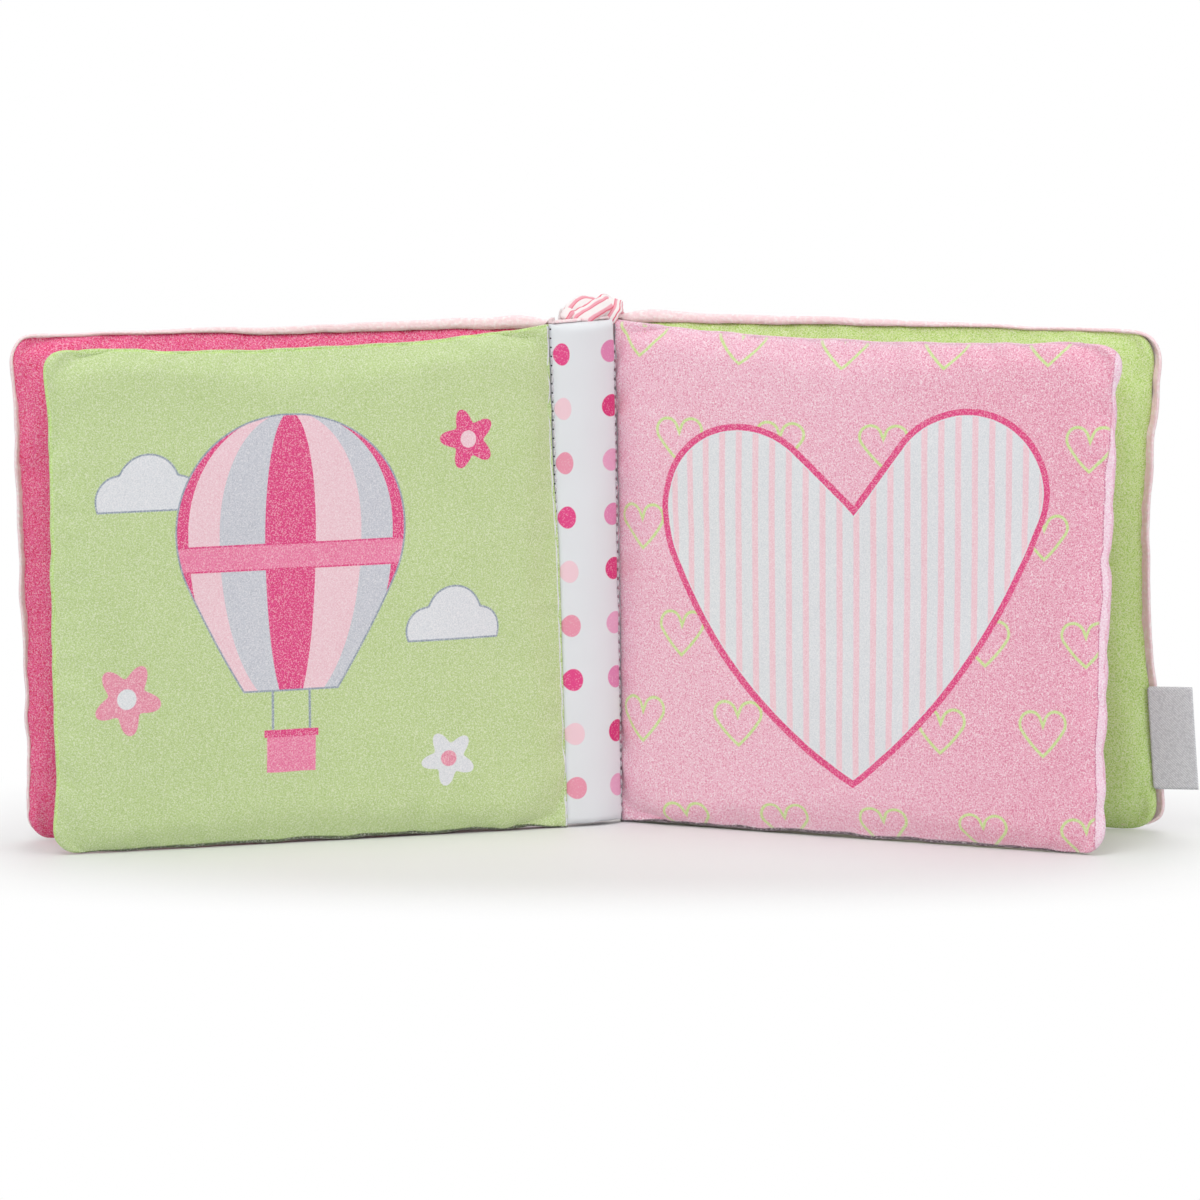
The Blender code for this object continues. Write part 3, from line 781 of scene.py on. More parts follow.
@dataclass(frozen=True)
class Lobes:
    """A heart or a drop with its tip at the origin.

    Its lobes have a centre, across and up from the tip, and a radius. A heart has a cleft.
    """

    across: float
    height: float
    radius: float
    cleft: float
    tip_degrees: float

    def arc(self) -> tuple[Vector, float]:
        """The wide arc that runs from the tip into the lobe: its centre and radius."""
        turn = math.radians(self.tip_degrees)
        inward = Vector((-math.sin(turn), math.cos(turn)))
        centre = Vector((self.across, self.height))
        reach = (centre.length_squared - self.radius**2) / (2 * (inward.dot(centre) - self.radius))
        return inward * reach, reach

    def lines(self) -> tuple[tuple[float, float, float], tuple[float, float, float]]:
        """The shoulder and the chord as half planes: normal x, normal y and offset."""
        centre = Vector((self.across, self.height))
        low = centre + (centre - self.arc()[0]).normalized() * self.radius
        if not self.across:
            return (0.0, 1.0, -low.y), (0.0, 1.0, -low.y)
        notch = Vector((0.0, self.cleft))
        gap = (centre - notch).length
        turn = math.atan2(centre.y - notch.y, centre.x) + math.asin(self.radius / gap)
        along = Vector((math.cos(turn), math.sin(turn)))
        normal = Vector((-along.y, along.x))
        high = notch + along * math.sqrt(gap**2 - self.radius**2)
        chord = (high - low).normalized()
        below = -(chord.y * low.x - chord.x * low.y)
        return (normal.x, normal.y, -normal.dot(notch)), (chord.y, -chord.x, below)


@dataclass(frozen=True)
class Fabric:
    """The constant settings of a cloth's shader."""

    roughness: float = 0.88
    sheen: float = 0.25
    sheen_roughness: float = 0.55
    bump: float = 0.25
    depth: float = 0.12 * MM
    specular: float = 0.25


class Finish:
    """A material being made: its nodes and its shader."""

    def __init__(self, name: str, fabric: Fabric) -> None:
        """Starts a material.

        Args:
            name: The material's name.
            fabric: Its shader's constant settings.
        """
        self.material = bpy.data.materials.new(name)
        self.material.use_nodes = True
        self.nodes = Nodes(self.material.node_tree)
        self.shader = self.material.node_tree.nodes["Principled BSDF"]
        self.fabric = fabric
        for socket, value in (
            ("Roughness", fabric.roughness),
            ("Specular IOR Level", fabric.specular),
            ("Sheen Weight", fabric.sheen),
            ("Sheen Roughness", fabric.sheen_roughness),
        ):
            self.shader.inputs[socket].default_value = value

    def place(self) -> bpy.types.NodeSocket:
        """Where a point lies on the cloth laid flat."""
        return self.nodes.attribute(PLACE).outputs["Vector"]

    def room(self) -> bpy.types.NodeSocket:
        """Where a point lies in the frame."""
        return self.nodes.add("TexCoord").outputs["Object"]

    def close(self, colour: object, height: object) -> bpy.types.Material:
        """Feeds the colour and the bump, and returns the material."""
        self.nodes.feed(self.shader.inputs["Base Color"], colour)
        bump = self.nodes.add("Bump")
        bump.inputs["Strength"].default_value = self.fabric.bump
        bump.inputs["Distance"].default_value = self.fabric.depth
        self.nodes.feed(bump.inputs["Height"], height)
        self.nodes.feed(self.shader.inputs["Normal"], bump.outputs["Normal"])
        return self.material

    def brushed(
        self, effects: Effects, colour: object, light: object, dark: object
    ) -> bpy.types.Material:
        """Closes the material as brushed cloth.

        Args:
            effects: The shared groups.
            colour: The cloth's colour or its print.
            light: How strongly its light flecks show.
            dark: How strongly its dark flecks show.

        Returns:
            The material.
        """
        grain = self.nodes.group(
            effects.grain, Place=self.room(), Color=colour, Light=light, Dark=dark
        )
        return self.close(grain.outputs["Color"], grain.outputs["Height"])


Colour = tuple[float, float, float, float]


@dataclass(frozen=True)
class Palette:
    """The book's colours."""

    pink: Colour = tint(238, 186, 205)
    # outer pink: partly the cloth's own deeper tone, partly painted shade and pink bounce light
    outer_pink_tone_and_shade: Colour = tint(235, 171, 193)
    lime: Colour = tint(193, 212, 152)
    magenta: Colour = tint(240, 102, 154)
    green: Colour = tint(204, 229, 150)
    plush: Colour = tint(253, 230, 232)
    plush_light: Colour = tint(255, 244, 244)
    plush_dark: Colour = tint(250, 220, 224)
    # painted shade: the darker line in the pink leaf's seam groove
    groove: Colour = tint(206, 120, 156)
    # painted shade: the contact shadow along the leaves' feet
    foot: Colour = tint(46, 48, 50)
    cotton: Colour = tint(224, 227, 230)
    heart_line: Colour = tint(206, 224, 152)
    hot_pink: Colour = tint(226, 72, 136)
    pale_pink: Colour = tint(238, 203, 212)
    rose: Colour = tint(231, 150, 172)
    orchid: Colour = tint(222, 132, 178)
    light_orchid: Colour = tint(228, 164, 196)
    deep_magenta: Colour = tint(214, 44, 118)
    silver: Colour = tint(222, 224, 228)
    balloon_belt: Colour = tint(236, 132, 170)
    rim: Colour = tint(243, 214, 228)
    # painted shade: needle holes darkened as the shade inside them, and the grey along the stitch
    # grooves
    needle: Colour = tint(38, 32, 38)
    stitch_groove_shade: Colour = tint(176, 176, 196)
    band: Colour = tint(240, 233, 232)
    band_red: Colour = tint(226, 96, 122)
    band_pink: Colour = tint(236, 164, 178)
    silver_blue: Colour = tint(203, 205, 213)
    outline: Colour = tint(150, 162, 178)
    lime_rim: Colour = tint(196, 230, 132)
    lime_reverse_rim: Colour = tint(205, 232, 148)
    magenta_rim: Colour = tint(206, 52, 108)
    green_rim: Colour = tint(190, 218, 132)
    satin_dark: Colour = tint(202, 204, 208)
    satin_light: Colour = tint(236, 238, 241)
    thread_dark: Colour = tint(188, 184, 190)
    thread_light: Colour = tint(226, 224, 228)


@dataclass(frozen=True)
class HeartPrint:
    """The pink leaf's print: small outlined hearts in rows and one large striped heart."""

    small: Lobes = Lobes(
        across=4.0 * MM, height=9.4 * MM, radius=3.45 * MM, cleft=8.7 * MM, tip_degrees=40.0
    )
    small_reach: float = 8 * MM
    pitch: float = 32.4 * MM
    row_pitch: float = 57.0 * MM
    small_slant: float = 0.025
    even_start: tuple[float, float] = (9.3 * MM, 25.6 * MM)
    odd_start: tuple[float, float] = (23.0 * MM, 51.4 * MM)
    line: float = 0.45 * MM
    large: Lobes = Lobes(
        across=35.5 * MM, height=84.0 * MM, radius=26.3 * MM, cleft=83.6 * MM, tip_degrees=35.0
    )
    large_tip: tuple[float, float] = (78.6 * MM, 15.2 * MM)
    large_slant: float = 0.112
    large_sway: float = 0.10
    large_line: float = 2.0 * MM
    inner_line: float = 0.35 * MM
    stripe_pitch: float = 5.3 * MM
    stripe_width: float = 1.9 * MM
    edge_start: float = 159.4 * MM
    edge_scallop: float = 0.5 * MM
    edge_drift: tuple[float, float] = (-1.9 * MM, -1.4 * MM)
    edge_turns: tuple[float, float, float] = (132 * MM, 106 * MM, 10 * MM)


class Prints:
    """The book's finishes: printed cloths, linings, plush, band and satin."""

    SOFT = 0.16 * MM

    def __init__(self, effects: Effects, palette: Palette) -> None:
        """Keeps the shared groups and the colours."""
        self.effects = effects
        self.palette = palette

    def lobed(
        self, nodes: Nodes, x: object, y: object, lobes: Lobes
    ) -> bpy.types.NodeSocket:
        """The distance to a heart's or drop's outline."""
        arc, reach = lobes.arc()
        shoulder, chord = lobes.lines()
        made = nodes.group(
            self.effects.lobes,
            X=x,
            Y=y,
            Lobe=(lobes.across, lobes.height, 0.0),
            Radius=lobes.radius,
            Arc=(arc.x, arc.y, 0.0),
            Reach=reach,
            Shoulder=shoulder,
            Chord=chord,
        )
        return made.outputs["Distance"]

    def inside(self, nodes: Nodes, distance: object, edge: float = 0.0) -> bpy.types.NodeSocket:
        """1 where a distance is below edge, with a soft printed border."""
        return nodes.between(distance, edge + self.SOFT, edge - self.SOFT)

    def rim_tinted(
        self, finish: Finish, colour: object, rim: object, share: float
    ) -> bpy.types.NodeSocket:
        """The colour with the page's rolled rim laid over it."""
        edge = finish.nodes.between(finish.nodes.attribute(RIM).outputs["Fac"], 0.72, 0.98)
        return finish.nodes.mix(finish.nodes.math("MULTIPLY", edge, share), colour, rim)

    def seam_edge(self, finish: Finish, colour: object, side: Side) -> bpy.types.NodeSocket:
        """The pale roll where a leaf's cloth turns into its seam."""
        nodes = finish.nodes
        out = nodes.math("MULTIPLY", nodes.split(finish.place())[0], float(side.value))
        inner = nodes.between(out, -0.15 * MM, -0.4 * MM)
        return nodes.mix(inner, colour, self.palette.silver)

    def painted_foot_shade(self, finish: Finish, colour: object) -> bpy.types.NodeSocket:
        """Painted shade: a dark line along a leaf's foot, in place of the contact shadow under it.
        """
        nodes = finish.nodes
        low = nodes.between(nodes.split(finish.place())[1], 0.75 * MM, 0.3 * MM)
        return nodes.mix(nodes.math("MULTIPLY", low, 0.85), colour, self.palette.foot)

    def rolled_edge(
        self, finish: Finish, colour: object, drawn: HeartPrint
    ) -> bpy.types.NodeSocket:
        """The pink leaf's outer edge: the pale reverse rolls forward past a puckered seam, whose
        groove gets a darker line of painted shade.
        """
        nodes, hues = finish.nodes, self.palette
        x, z, _ = nodes.split(finish.place())
        start = drawn.edge_start
        for high, low, drift in zip(drawn.edge_turns, drawn.edge_turns[1:], drawn.edge_drift):
            start = nodes.math("MULTIPLY_ADD", nodes.between(z, high, low), drift, start)
        wave = nodes.math("SINE", nodes.math("MULTIPLY", z, math.pi / SCALLOP_PITCH))
        scallop = nodes.math("ABSOLUTE", wave)
        start = nodes.math("MULTIPLY_ADD", scallop, -drawn.edge_scallop, start)
        seam = nodes.math("SUBTRACT", x, start)
        rolled = nodes.between(seam, -0.1 * MM, 0.2 * MM)
        # painted shade: a darker pink line in the seam's groove
        groove = nodes.between(nodes.math("ABSOLUTE", seam), 0.5 * MM, 0.1 * MM)
        colour = nodes.mix(nodes.math("MULTIPLY", groove, 0.75), colour, hues.groove)
        colour = nodes.mix(rolled, colour, hues.rim)
        worn = nodes.math("MULTIPLY", nodes.attribute(RIM).outputs["Fac"], 0.4)
        return nodes.mix(worn, colour, hues.rim)

    def heart_leaf(self, drawn: HeartPrint) -> bpy.types.Material:
        """Pink brushed cloth with the heart print."""
        finish = Finish("pink_hearts_cloth", Fabric())
        nodes, hues = finish.nodes, self.palette
        x, z, _ = nodes.split(finish.place())
        rows = []
        level = nodes.math("MULTIPLY_ADD", x, -drawn.small_slant, z)
        for start_x, start_z in (drawn.even_start, drawn.odd_start):
            over = nodes.math("SUBTRACT", x, start_x)
            over = nodes.math("WRAP", over, drawn.pitch / 2, -drawn.pitch / 2)
            up = nodes.math("SUBTRACT", level, start_z)
            up = nodes.math("WRAP", up, drawn.row_pitch - drawn.small_reach, -drawn.small_reach)
            rows.append(self.lobed(nodes, over, up, drawn.small))
        small = nodes.math("ABSOLUTE", nodes.math("MINIMUM", rows[0], rows[1]))
        # deeper pink towards the outer edge: partly the cloth's own tone, partly painted shade and
        # pink bounce light
        colour = nodes.mix(nodes.between(x, 60 * MM, 150 * MM), hues.pink, hues.outer_pink_tone_and_shade)
        colour = nodes.mix(self.inside(nodes, small, drawn.line), colour, hues.heart_line)
        large_x = nodes.math("SUBTRACT", x, drawn.large_tip[0])
        slanted = nodes.math("MULTIPLY_ADD", large_x, -drawn.large_slant, z)
        large_z = nodes.math("SUBTRACT", slanted, drawn.large_tip[1])
        above = nodes.math("MAXIMUM", nodes.math("SUBTRACT", large_z, drawn.large.cleft), 0.0)
        swayed = nodes.math("MULTIPLY_ADD", above, drawn.large_sway, large_x)
        large = self.lobed(nodes, swayed, large_z, drawn.large)
        half = drawn.stripe_pitch / 2
        stripe = nodes.math("ABSOLUTE", nodes.math("WRAP", x, half, -half))
        on_stripe = self.inside(nodes, stripe, drawn.stripe_width / 2)
        striped = nodes.mix(on_stripe, hues.silver, hues.pale_pink)
        for line, ink in (
            (0.0, hues.hot_pink),
            (-drawn.large_line, hues.cotton),
            (-drawn.large_line - drawn.inner_line, striped),
        ):
            colour = nodes.mix(self.inside(nodes, large, line), colour, ink)
        colour = self.seam_edge(finish, self.rolled_edge(finish, colour, drawn), Side.RIGHT)
        colour = self.painted_foot_shade(finish, colour)
        in_small = self.inside(nodes, small, drawn.line)
        printed = nodes.math("MAXIMUM", self.inside(nodes, large), in_small)
        light = nodes.math("MULTIPLY_ADD", printed, -0.25, 0.52)
        dark = nodes.math("MULTIPLY_ADD", printed, -0.6, 1.0)
        return finish.brushed(self.effects, colour, light, dark)

    def rosette(
        self, nodes: Nodes, point: tuple, middle: tuple, radius: float, turn_deg: float
    ) -> bpy.types.NodeSocket:
        """The distance to a five-lobed rosette round a middle."""
        away = nodes.join(*(nodes.math("SUBTRACT", at, mid) for at, mid in zip(point, middle)))
        turned = nodes.add("VectorRotate", rotation_type="Z_AXIS")
        nodes.feed(turned.inputs["Vector"], away)
        turned.inputs["Angle"].default_value = math.radians(turn_deg)
        over, up, _ = nodes.split(turned.outputs[0])
        made = nodes.group(
            self.effects.blossom, X=over, Y=up, Radius=radius, Petals=5.0, Depth=0.28
        )
        return made.outputs["Distance"]

    def disc(
        self, nodes: Nodes, point: tuple, middle: tuple, radius: float
    ) -> bpy.types.NodeSocket:
        """The distance to a disc's edge."""
        away = nodes.measure("DISTANCE", nodes.join(*point), (*middle, 0.0))
        return nodes.math("SUBTRACT", away, radius)

    def bar(self, nodes: Nodes, point: tuple, low: tuple, high: tuple) -> bpy.types.NodeSocket:
        """The distance to an upright rectangle's edge."""
        past = []
        for at, least, most in zip(point, low, high):
            away = nodes.math("ABSOLUTE", nodes.math("SUBTRACT", at, (least + most) / 2))
            past.append(nodes.math("SUBTRACT", away, (most - least) / 2))
        return nodes.math("MAXIMUM", *past)

    def laid_over(
        self, nodes: Nodes, colour: object, shape: object, ink: object
    ) -> bpy.types.NodeSocket:
        """A colour with a shape printed on it, inside a thin outline."""
        colour = nodes.mix(self.inside(nodes, shape, 0.55 * MM), colour, self.palette.outline)
        return nodes.mix(self.inside(nodes, shape), colour, ink)

    def balloon_leaf(self, drawn: "BalloonPrint") -> bpy.types.Material:
        """Lime brushed cloth with a striped balloon, clouds and rosettes."""
        finish = Finish("lime_balloon_cloth", Fabric())
        nodes, hues = finish.nodes, self.palette
        x, z, _ = nodes.split(finish.place())
        colour = self.with_rosettes(nodes, (x, z), hues.lime, drawn)
        colour = self.with_clouds(nodes, (x, z), colour, drawn)
        colour = self.with_balloon(nodes, (x, z), colour, drawn)
        colour = self.rim_tinted(finish, colour, hues.lime_rim, 0.8)
        colour = self.painted_foot_shade(finish, self.seam_edge(finish, colour, Side.LEFT))
        return finish.brushed(self.effects, colour, 0.3, 0.5)

    def with_rosettes(
        self, nodes: Nodes, point: tuple, colour: object, drawn: "BalloonPrint"
    ) -> object:
        """The lime leaf's colour with its rosettes."""
        for middle, radius, turn, petal, eye in drawn.rosettes(self.palette):
            flower = self.rosette(nodes, point, middle, radius, turn)
            heart = self.disc(nodes, point, middle, radius * 0.36)
            colour = nodes.mix(self.inside(nodes, flower), colour, petal)
            colour = nodes.mix(self.inside(nodes, heart), colour, eye)
        return colour

    def with_clouds(
        self, nodes: Nodes, point: tuple, colour: object, drawn: "BalloonPrint"
    ) -> object:
        """The lime leaf's colour with its clouds, each of three puffs over a flat foot."""
        for puffs in drawn.clouds:
            discs = [self.disc(nodes, point, (x, z), radius) for x, z, radius in puffs]
            cloud = discs[0]
            for other in discs[1:]:
                cloud = nodes.math("SMOOTH_MIN", cloud, other, 1.2 * MM)
            foot = nodes.math("SUBTRACT", min(z for _, z, _ in puffs) - 2.6 * MM, point[1])
            cloud = nodes.math("MAXIMUM", cloud, foot)
            colour = self.laid_over(nodes, colour, cloud, self.palette.silver)
        return colour

    def gores(
        self, nodes: Nodes, over: object, up: object, drawn: "BalloonPrint"
    ) -> bpy.types.NodeSocket:
        """The balloon's striped cloth, its gores narrower towards its sides, under a belt."""
        hues, shape = self.palette, drawn.envelope
        rise = nodes.math("SUBTRACT", up, shape.height)
        rise = nodes.math(
            "MAXIMUM",
            nodes.math("DIVIDE", rise, shape.radius * 1.03),
            nodes.math("DIVIDE", rise, -drawn.gore_reach),
        )
        left = nodes.math("SUBTRACT", 1.0, nodes.math("MULTIPLY", rise, rise))
        bulge = nodes.math("SQRT", nodes.math("MAXIMUM", left, 0.04))
        turn = nodes.math("DIVIDE", over, nodes.math("MULTIPLY", bulge, shape.radius))
        gore = nodes.math("ARCSINE", nodes.math("MINIMUM", nodes.math("MAXIMUM", turn, -1.0), 1.0))
        share = nodes.math("MULTIPLY_ADD", gore, drawn.gores / math.pi, 0.5)
        which = nodes.math("WRAP", nodes.math("FLOOR", share), 3.0, 0.0)
        cloths = hues.silver_blue
        for number, ink in ((1.0, hues.pale_pink), (0.0, hues.hot_pink)):
            cloths = nodes.mix(nodes.math("COMPARE", which, number, 0.5), cloths, ink)
        belt = nodes.math("ABSOLUTE", nodes.math("SUBTRACT", up, drawn.belt))
        belt = nodes.math("SUBTRACT", belt, drawn.belt_half)
        cloths = nodes.mix(self.inside(nodes, belt, 0.5 * MM), cloths, hues.hot_pink)
        return nodes.mix(self.inside(nodes, belt), cloths, hues.balloon_belt)

    def with_balloon(
        self, nodes: Nodes, point: tuple, colour: object, drawn: "BalloonPrint"
    ) -> object:
        """The lime leaf's colour with the balloon, its two ropes and its basket."""
        hues = self.palette
        over, up = (nodes.math("SUBTRACT", at, tip) for at, tip in zip(point, drawn.tip))
        drop = self.lobed(nodes, over, up, drawn.envelope)
        skirt = nodes.math("MAXIMUM", drop, nodes.math("SUBTRACT", drawn.skirt, up))
        colour = self.laid_over(nodes, colour, skirt, self.gores(nodes, over, up, drawn))
        low, high = drawn.basket
        for rope in (-drawn.rope, drawn.rope):
            foot = (rope - drawn.rope_half, high)
            line = self.bar(nodes, (over, up), foot, (rope + drawn.rope_half, drawn.skirt))
            colour = nodes.mix(self.inside(nodes, line), colour, hues.outline)
        for half, start, ink in (
            (drawn.basket_half, low, hues.balloon_belt),
            (drawn.edge_half, high - drawn.edge_height, hues.hot_pink),
        ):
            shape = self.bar(nodes, (over, up), (-half, start), (half, high))
            colour = nodes.mix(self.inside(nodes, shape), colour, ink)
        return colour

    def plain(self, name: str, hue: object, rim: object, foot: bool = False) -> bpy.types.Material:
        """Plain brushed cloth with its rim, and painted foot shade when foot is set."""
        finish = Finish(name, Fabric())
        colour = self.rim_tinted(finish, hue, rim, 0.5)
        if foot:
            # painted shade: the contact shadow along the foot
            colour = self.painted_foot_shade(finish, colour)
        return finish.brushed(self.effects, colour, 0.34, 1.0)

    def plush(self) -> bpy.types.Material:
        """Pale pink plush with a short crushed pile."""
        pile = Fabric(roughness=0.95, sheen=0.6, sheen_roughness=0.4, bump=0.6, depth=0.5 * MM)
        finish = Finish("pale_pink_plush_pile", pile)
        nodes, hues = finish.nodes, self.palette
        place = finish.room()
        tufts = nodes.noise(place, 1.1 * MM, 3.0)
        crush = nodes.noise(place, 14 * MM, 3.0)
        colour = nodes.mix(nodes.between(tufts, 0.35, 0.62), hues.plush_dark, hues.plush)
        colour = nodes.mix(nodes.between(tufts, 0.5, 0.75), colour, hues.plush_light)
        shade = nodes.math("MULTIPLY", nodes.between(crush, 0.4, 0.7), 0.3)
        colour = nodes.mix(shade, colour, hues.plush_dark)
        return finish.close(colour, tufts)

    def dotted_strip(self, drawn: "StripPrint") -> bpy.types.Material:
        """White cotton with two columns of printed dots, and painted shade along its seams: dark
        needle holes on faint grey stitch grooves.
        """
        cotton = Fabric(roughness=0.75, sheen=0.15, sheen_roughness=0.5, bump=0.3, depth=0.05 * MM)
        finish = Finish("white_dotted_strip", cotton)
        nodes, hues = finish.nodes, self.palette
        place = finish.place()
        s, z, _ = nodes.split(place)
        half = drawn.pitch / 2
        up = nodes.math("WRAP", nodes.math("SUBTRACT", z, drawn.first), half, -half)
        row = nodes.math("SUBTRACT", drawn.first + half, z)
        row = nodes.math("FLOOR", nodes.math("DIVIDE", row, drawn.pitch))
        kind = nodes.math("WRAP", row, 3.0, 0.0)
        colour = hues.cotton
        inks_left = (hues.hot_pink, hues.pale_pink, hues.rose)
        inks_right = (hues.orchid, hues.deep_magenta, hues.light_orchid)
        fleck = nodes.noise(finish.room(), 0.5 * MM, 2.0)
        sunk = nodes.between(z, PAGE_HEIGHT, 0.0)
        for column, inks in ((drawn.left, inks_left), (drawn.right, inks_right)):
            ink = nodes.mix(nodes.math("COMPARE", kind, 1.0, 0.5), inks[0], inks[1])
            ink = nodes.mix(nodes.math("COMPARE", kind, 2.0, 0.5), ink, inks[2])
            worn = nodes.math("MULTIPLY", nodes.between(fleck, 0.52, 0.7), 0.35)
            ink = nodes.mix(worn, ink, hues.pale_pink)
            over = nodes.math("MULTIPLY_ADD", sunk, column.drift, column.middle)
            over = nodes.math("SUBTRACT", s, over)
            wide = nodes.math("MULTIPLY_ADD", sunk, column.widening, column.width_share)
            place_in_dot = (nodes.math("DIVIDE", over, wide), up)
            dot = self.disc(nodes, place_in_dot, (0.0, 0.0), drawn.radius)
            colour = nodes.mix(self.inside(nodes, dot), colour, ink)
        seam = nodes.math("SUBTRACT", nodes.math("ABSOLUTE", s), drawn.stitch_line)
        step = drawn.stitch_pitch / 2
        stitch = nodes.math("WRAP", z, step, -step)
        place_in_hole = (nodes.math("MULTIPLY", seam, drawn.hole_squeeze), stitch)
        hole = self.disc(nodes, place_in_hole, (0.0, 0.0), drawn.hole)
        # painted shade: a faint grey line along each stitch groove
        stitch_groove_shade = nodes.between(nodes.math("ABSOLUTE", seam), 0.25 * MM, 0.05 * MM)
        colour = nodes.mix(nodes.math("MULTIPLY", stitch_groove_shade, 0.25), colour, hues.stitch_groove_shade)
        # painted shade: the needle holes darkened as the shade inside them
        colour = nodes.mix(nodes.between(hole, 0.06 * MM, -0.06 * MM), colour, hues.needle)
        threads = nodes.group(self.effects.weave, Place=place, Pitch=0.42 * MM, Twill=0.0)
        return finish.close(colour, threads.outputs["Height"])

    def striped_band(self) -> bpy.types.Material:
        """Soft white cotton band with lengthwise stripes in pink and red."""
        cotton = Fabric(roughness=0.85, sheen=0.2, sheen_roughness=0.5, bump=0.35, depth=0.1 * MM)
        finish = Finish("striped_band_cotton", cotton)
        nodes, hues = finish.nodes, self.palette
        across, _, _ = nodes.split(finish.place())
        colour = hues.band
        for middle, width, ink in (
            (-2.5, 0.35, hues.band_red),
            (-1.1, 0.8, hues.band_pink),
            (-0.6, 0.3, hues.band_red),
            (1.9, 0.8, hues.band_pink),
            (2.4, 0.35, hues.band_red),
            (-3.3, 0.4, hues.band_pink),
        ):
            away = nodes.math("ABSOLUTE", nodes.math("SUBTRACT", across, middle * MM))
            colour = nodes.mix(self.inside(nodes, away, width * MM / 2), colour, ink)
        place = finish.place()
        threads = nodes.group(self.effects.weave, Place=place, Pitch=0.5 * MM, Twill=0.0)
        return finish.close(colour, threads.outputs["Height"])

    def satin(self) -> bpy.types.Material:
        """Grey satin with a fine diagonal weave."""
        satin = Fabric(roughness=0.45, sheen=0.1, sheen_roughness=0.4, bump=0.5, depth=0.08 * MM)
        finish = Finish("grey_satin_weave", satin)
        nodes = finish.nodes
        across, up, _ = nodes.split(finish.place())
        slope = nodes.math("MULTIPLY", nodes.math("ADD", across, up), math.tau / (0.8 * MM))
        height = nodes.math("MULTIPLY_ADD", nodes.math("SINE", slope), 0.5, 0.5)
        mottled = nodes.noise(finish.room(), 0.7 * MM, 2.0)
        height = nodes.math("MULTIPLY", height, nodes.between(mottled, 0.3, 0.6))
        colour = nodes.mix(height, self.palette.satin_dark, self.palette.satin_light)
        return finish.close(colour, height)

    def thread(self) -> bpy.types.Material:
        """White cotton thread with a fine twist."""
        thread = Fabric(roughness=0.7, sheen=0.2, sheen_roughness=0.5, bump=0.4, depth=0.05 * MM)
        finish = Finish("white_cotton_thread", thread)
        nodes = finish.nodes
        twist = nodes.noise(finish.room(), 0.25 * MM, 1.0)
        shade = nodes.between(twist, 0.4, 0.65)
        colour = nodes.mix(shade, self.palette.thread_dark, self.palette.thread_light)
        return finish.close(colour, twist)


@dataclass(frozen=True)
class DotColumn:
    """One column of dots: its middle, its dots' width and how both change down to the foot."""

    middle: float
    drift: float
    width_share: float
    widening: float


@dataclass(frozen=True)
class StripPrint:
    """The spine strip's dots and needle holes, across and up the strip."""

    first: float = 141.0 * MM
    pitch: float = 16.15 * MM
    left: DotColumn = DotColumn(middle=-7.55 * MM, drift=0.7 * MM, width_share=0.57, widening=0.26)
    right: DotColumn = DotColumn(middle=7.3 * MM, drift=0.0, width_share=1.15, widening=-0.1)
    radius: float = 3.3 * MM
    stitch_line: float = 9.65 * MM
    stitch_pitch: float = 2.7 * MM
    hole: float = 0.26 * MM
    hole_squeeze: float = 2.2


@dataclass(frozen=True)
class BalloonPrint:
    """The lime leaf's print: places from the seam and the foot, the balloon's from its tip."""

    tip: tuple[float, float] = (-86 * MM, 26 * MM)
    envelope: Lobes = Lobes(
        across=0.0, height=68 * MM, radius=35 * MM, cleft=0.0, tip_degrees=54.0
    )
    skirt: float = 21 * MM
    rope: float = 5.6 * MM
    rope_half: float = 0.35 * MM
    basket: tuple[float, float] = (-4.0 * MM, 9.0 * MM)
    basket_half: float = 7.4 * MM
    edge_half: float = 8.2 * MM
    edge_height: float = 2.2 * MM
    gore_reach: float = 53 * MM
    gores: float = 7.0
    belt: float = 60 * MM
    belt_half: float = 3.4 * MM
    clouds: tuple = (
        (
            (-139 * MM, 104 * MM, 7.5 * MM),
            (-130 * MM, 108 * MM, 9.5 * MM),
            (-121 * MM, 104 * MM, 7.0 * MM),
        ),
        (
            (-44 * MM, 62 * MM, 6.5 * MM),
            (-35.5 * MM, 66 * MM, 8.5 * MM),
            (-27 * MM, 62 * MM, 6.0 * MM),
        ),
    )

    def rosettes(self, hues: Palette) -> tuple:
        """Each rosette's middle, radius, turn and two colours."""
        return (
            ((-136 * MM, 46 * MM), 8.4 * MM, 10.0, hues.rose, hues.cotton),
            ((-30 * MM, 118 * MM), 7.2 * MM, 40.0, hues.hot_pink, hues.pale_pink),
            ((-38 * MM, 24 * MM), 6.6 * MM, 25.0, hues.silver, hues.rose),
        )


def smooth_path(points: list[tuple[float, float, float]], steps: int) -> np.ndarray:
    """A smooth curve through points.

    Args:
        points: What it passes through.
        steps: How many pieces each span is cut into.

    Returns:
        The curve's points.
    """
    given = np.array(points, dtype=float)
    padded = np.vstack((2 * given[0] - given[1], given, 2 * given[-1] - given[-2]))
    curve = []
    for k in range(1, len(padded) - 2):
        a, b, c, d = padded[k - 1 : k + 3]
        square, cube = 2 * a - 5 * b + 4 * c - d, 3 * b - a - 3 * c + d
        for t in np.linspace(0, 1, steps, endpoint=False):
            curve.append(0.5 * (2 * b + (c - a) * t + square * t**2 + cube * t**3))
    curve.append(given[-1])
    return np.array(curve)


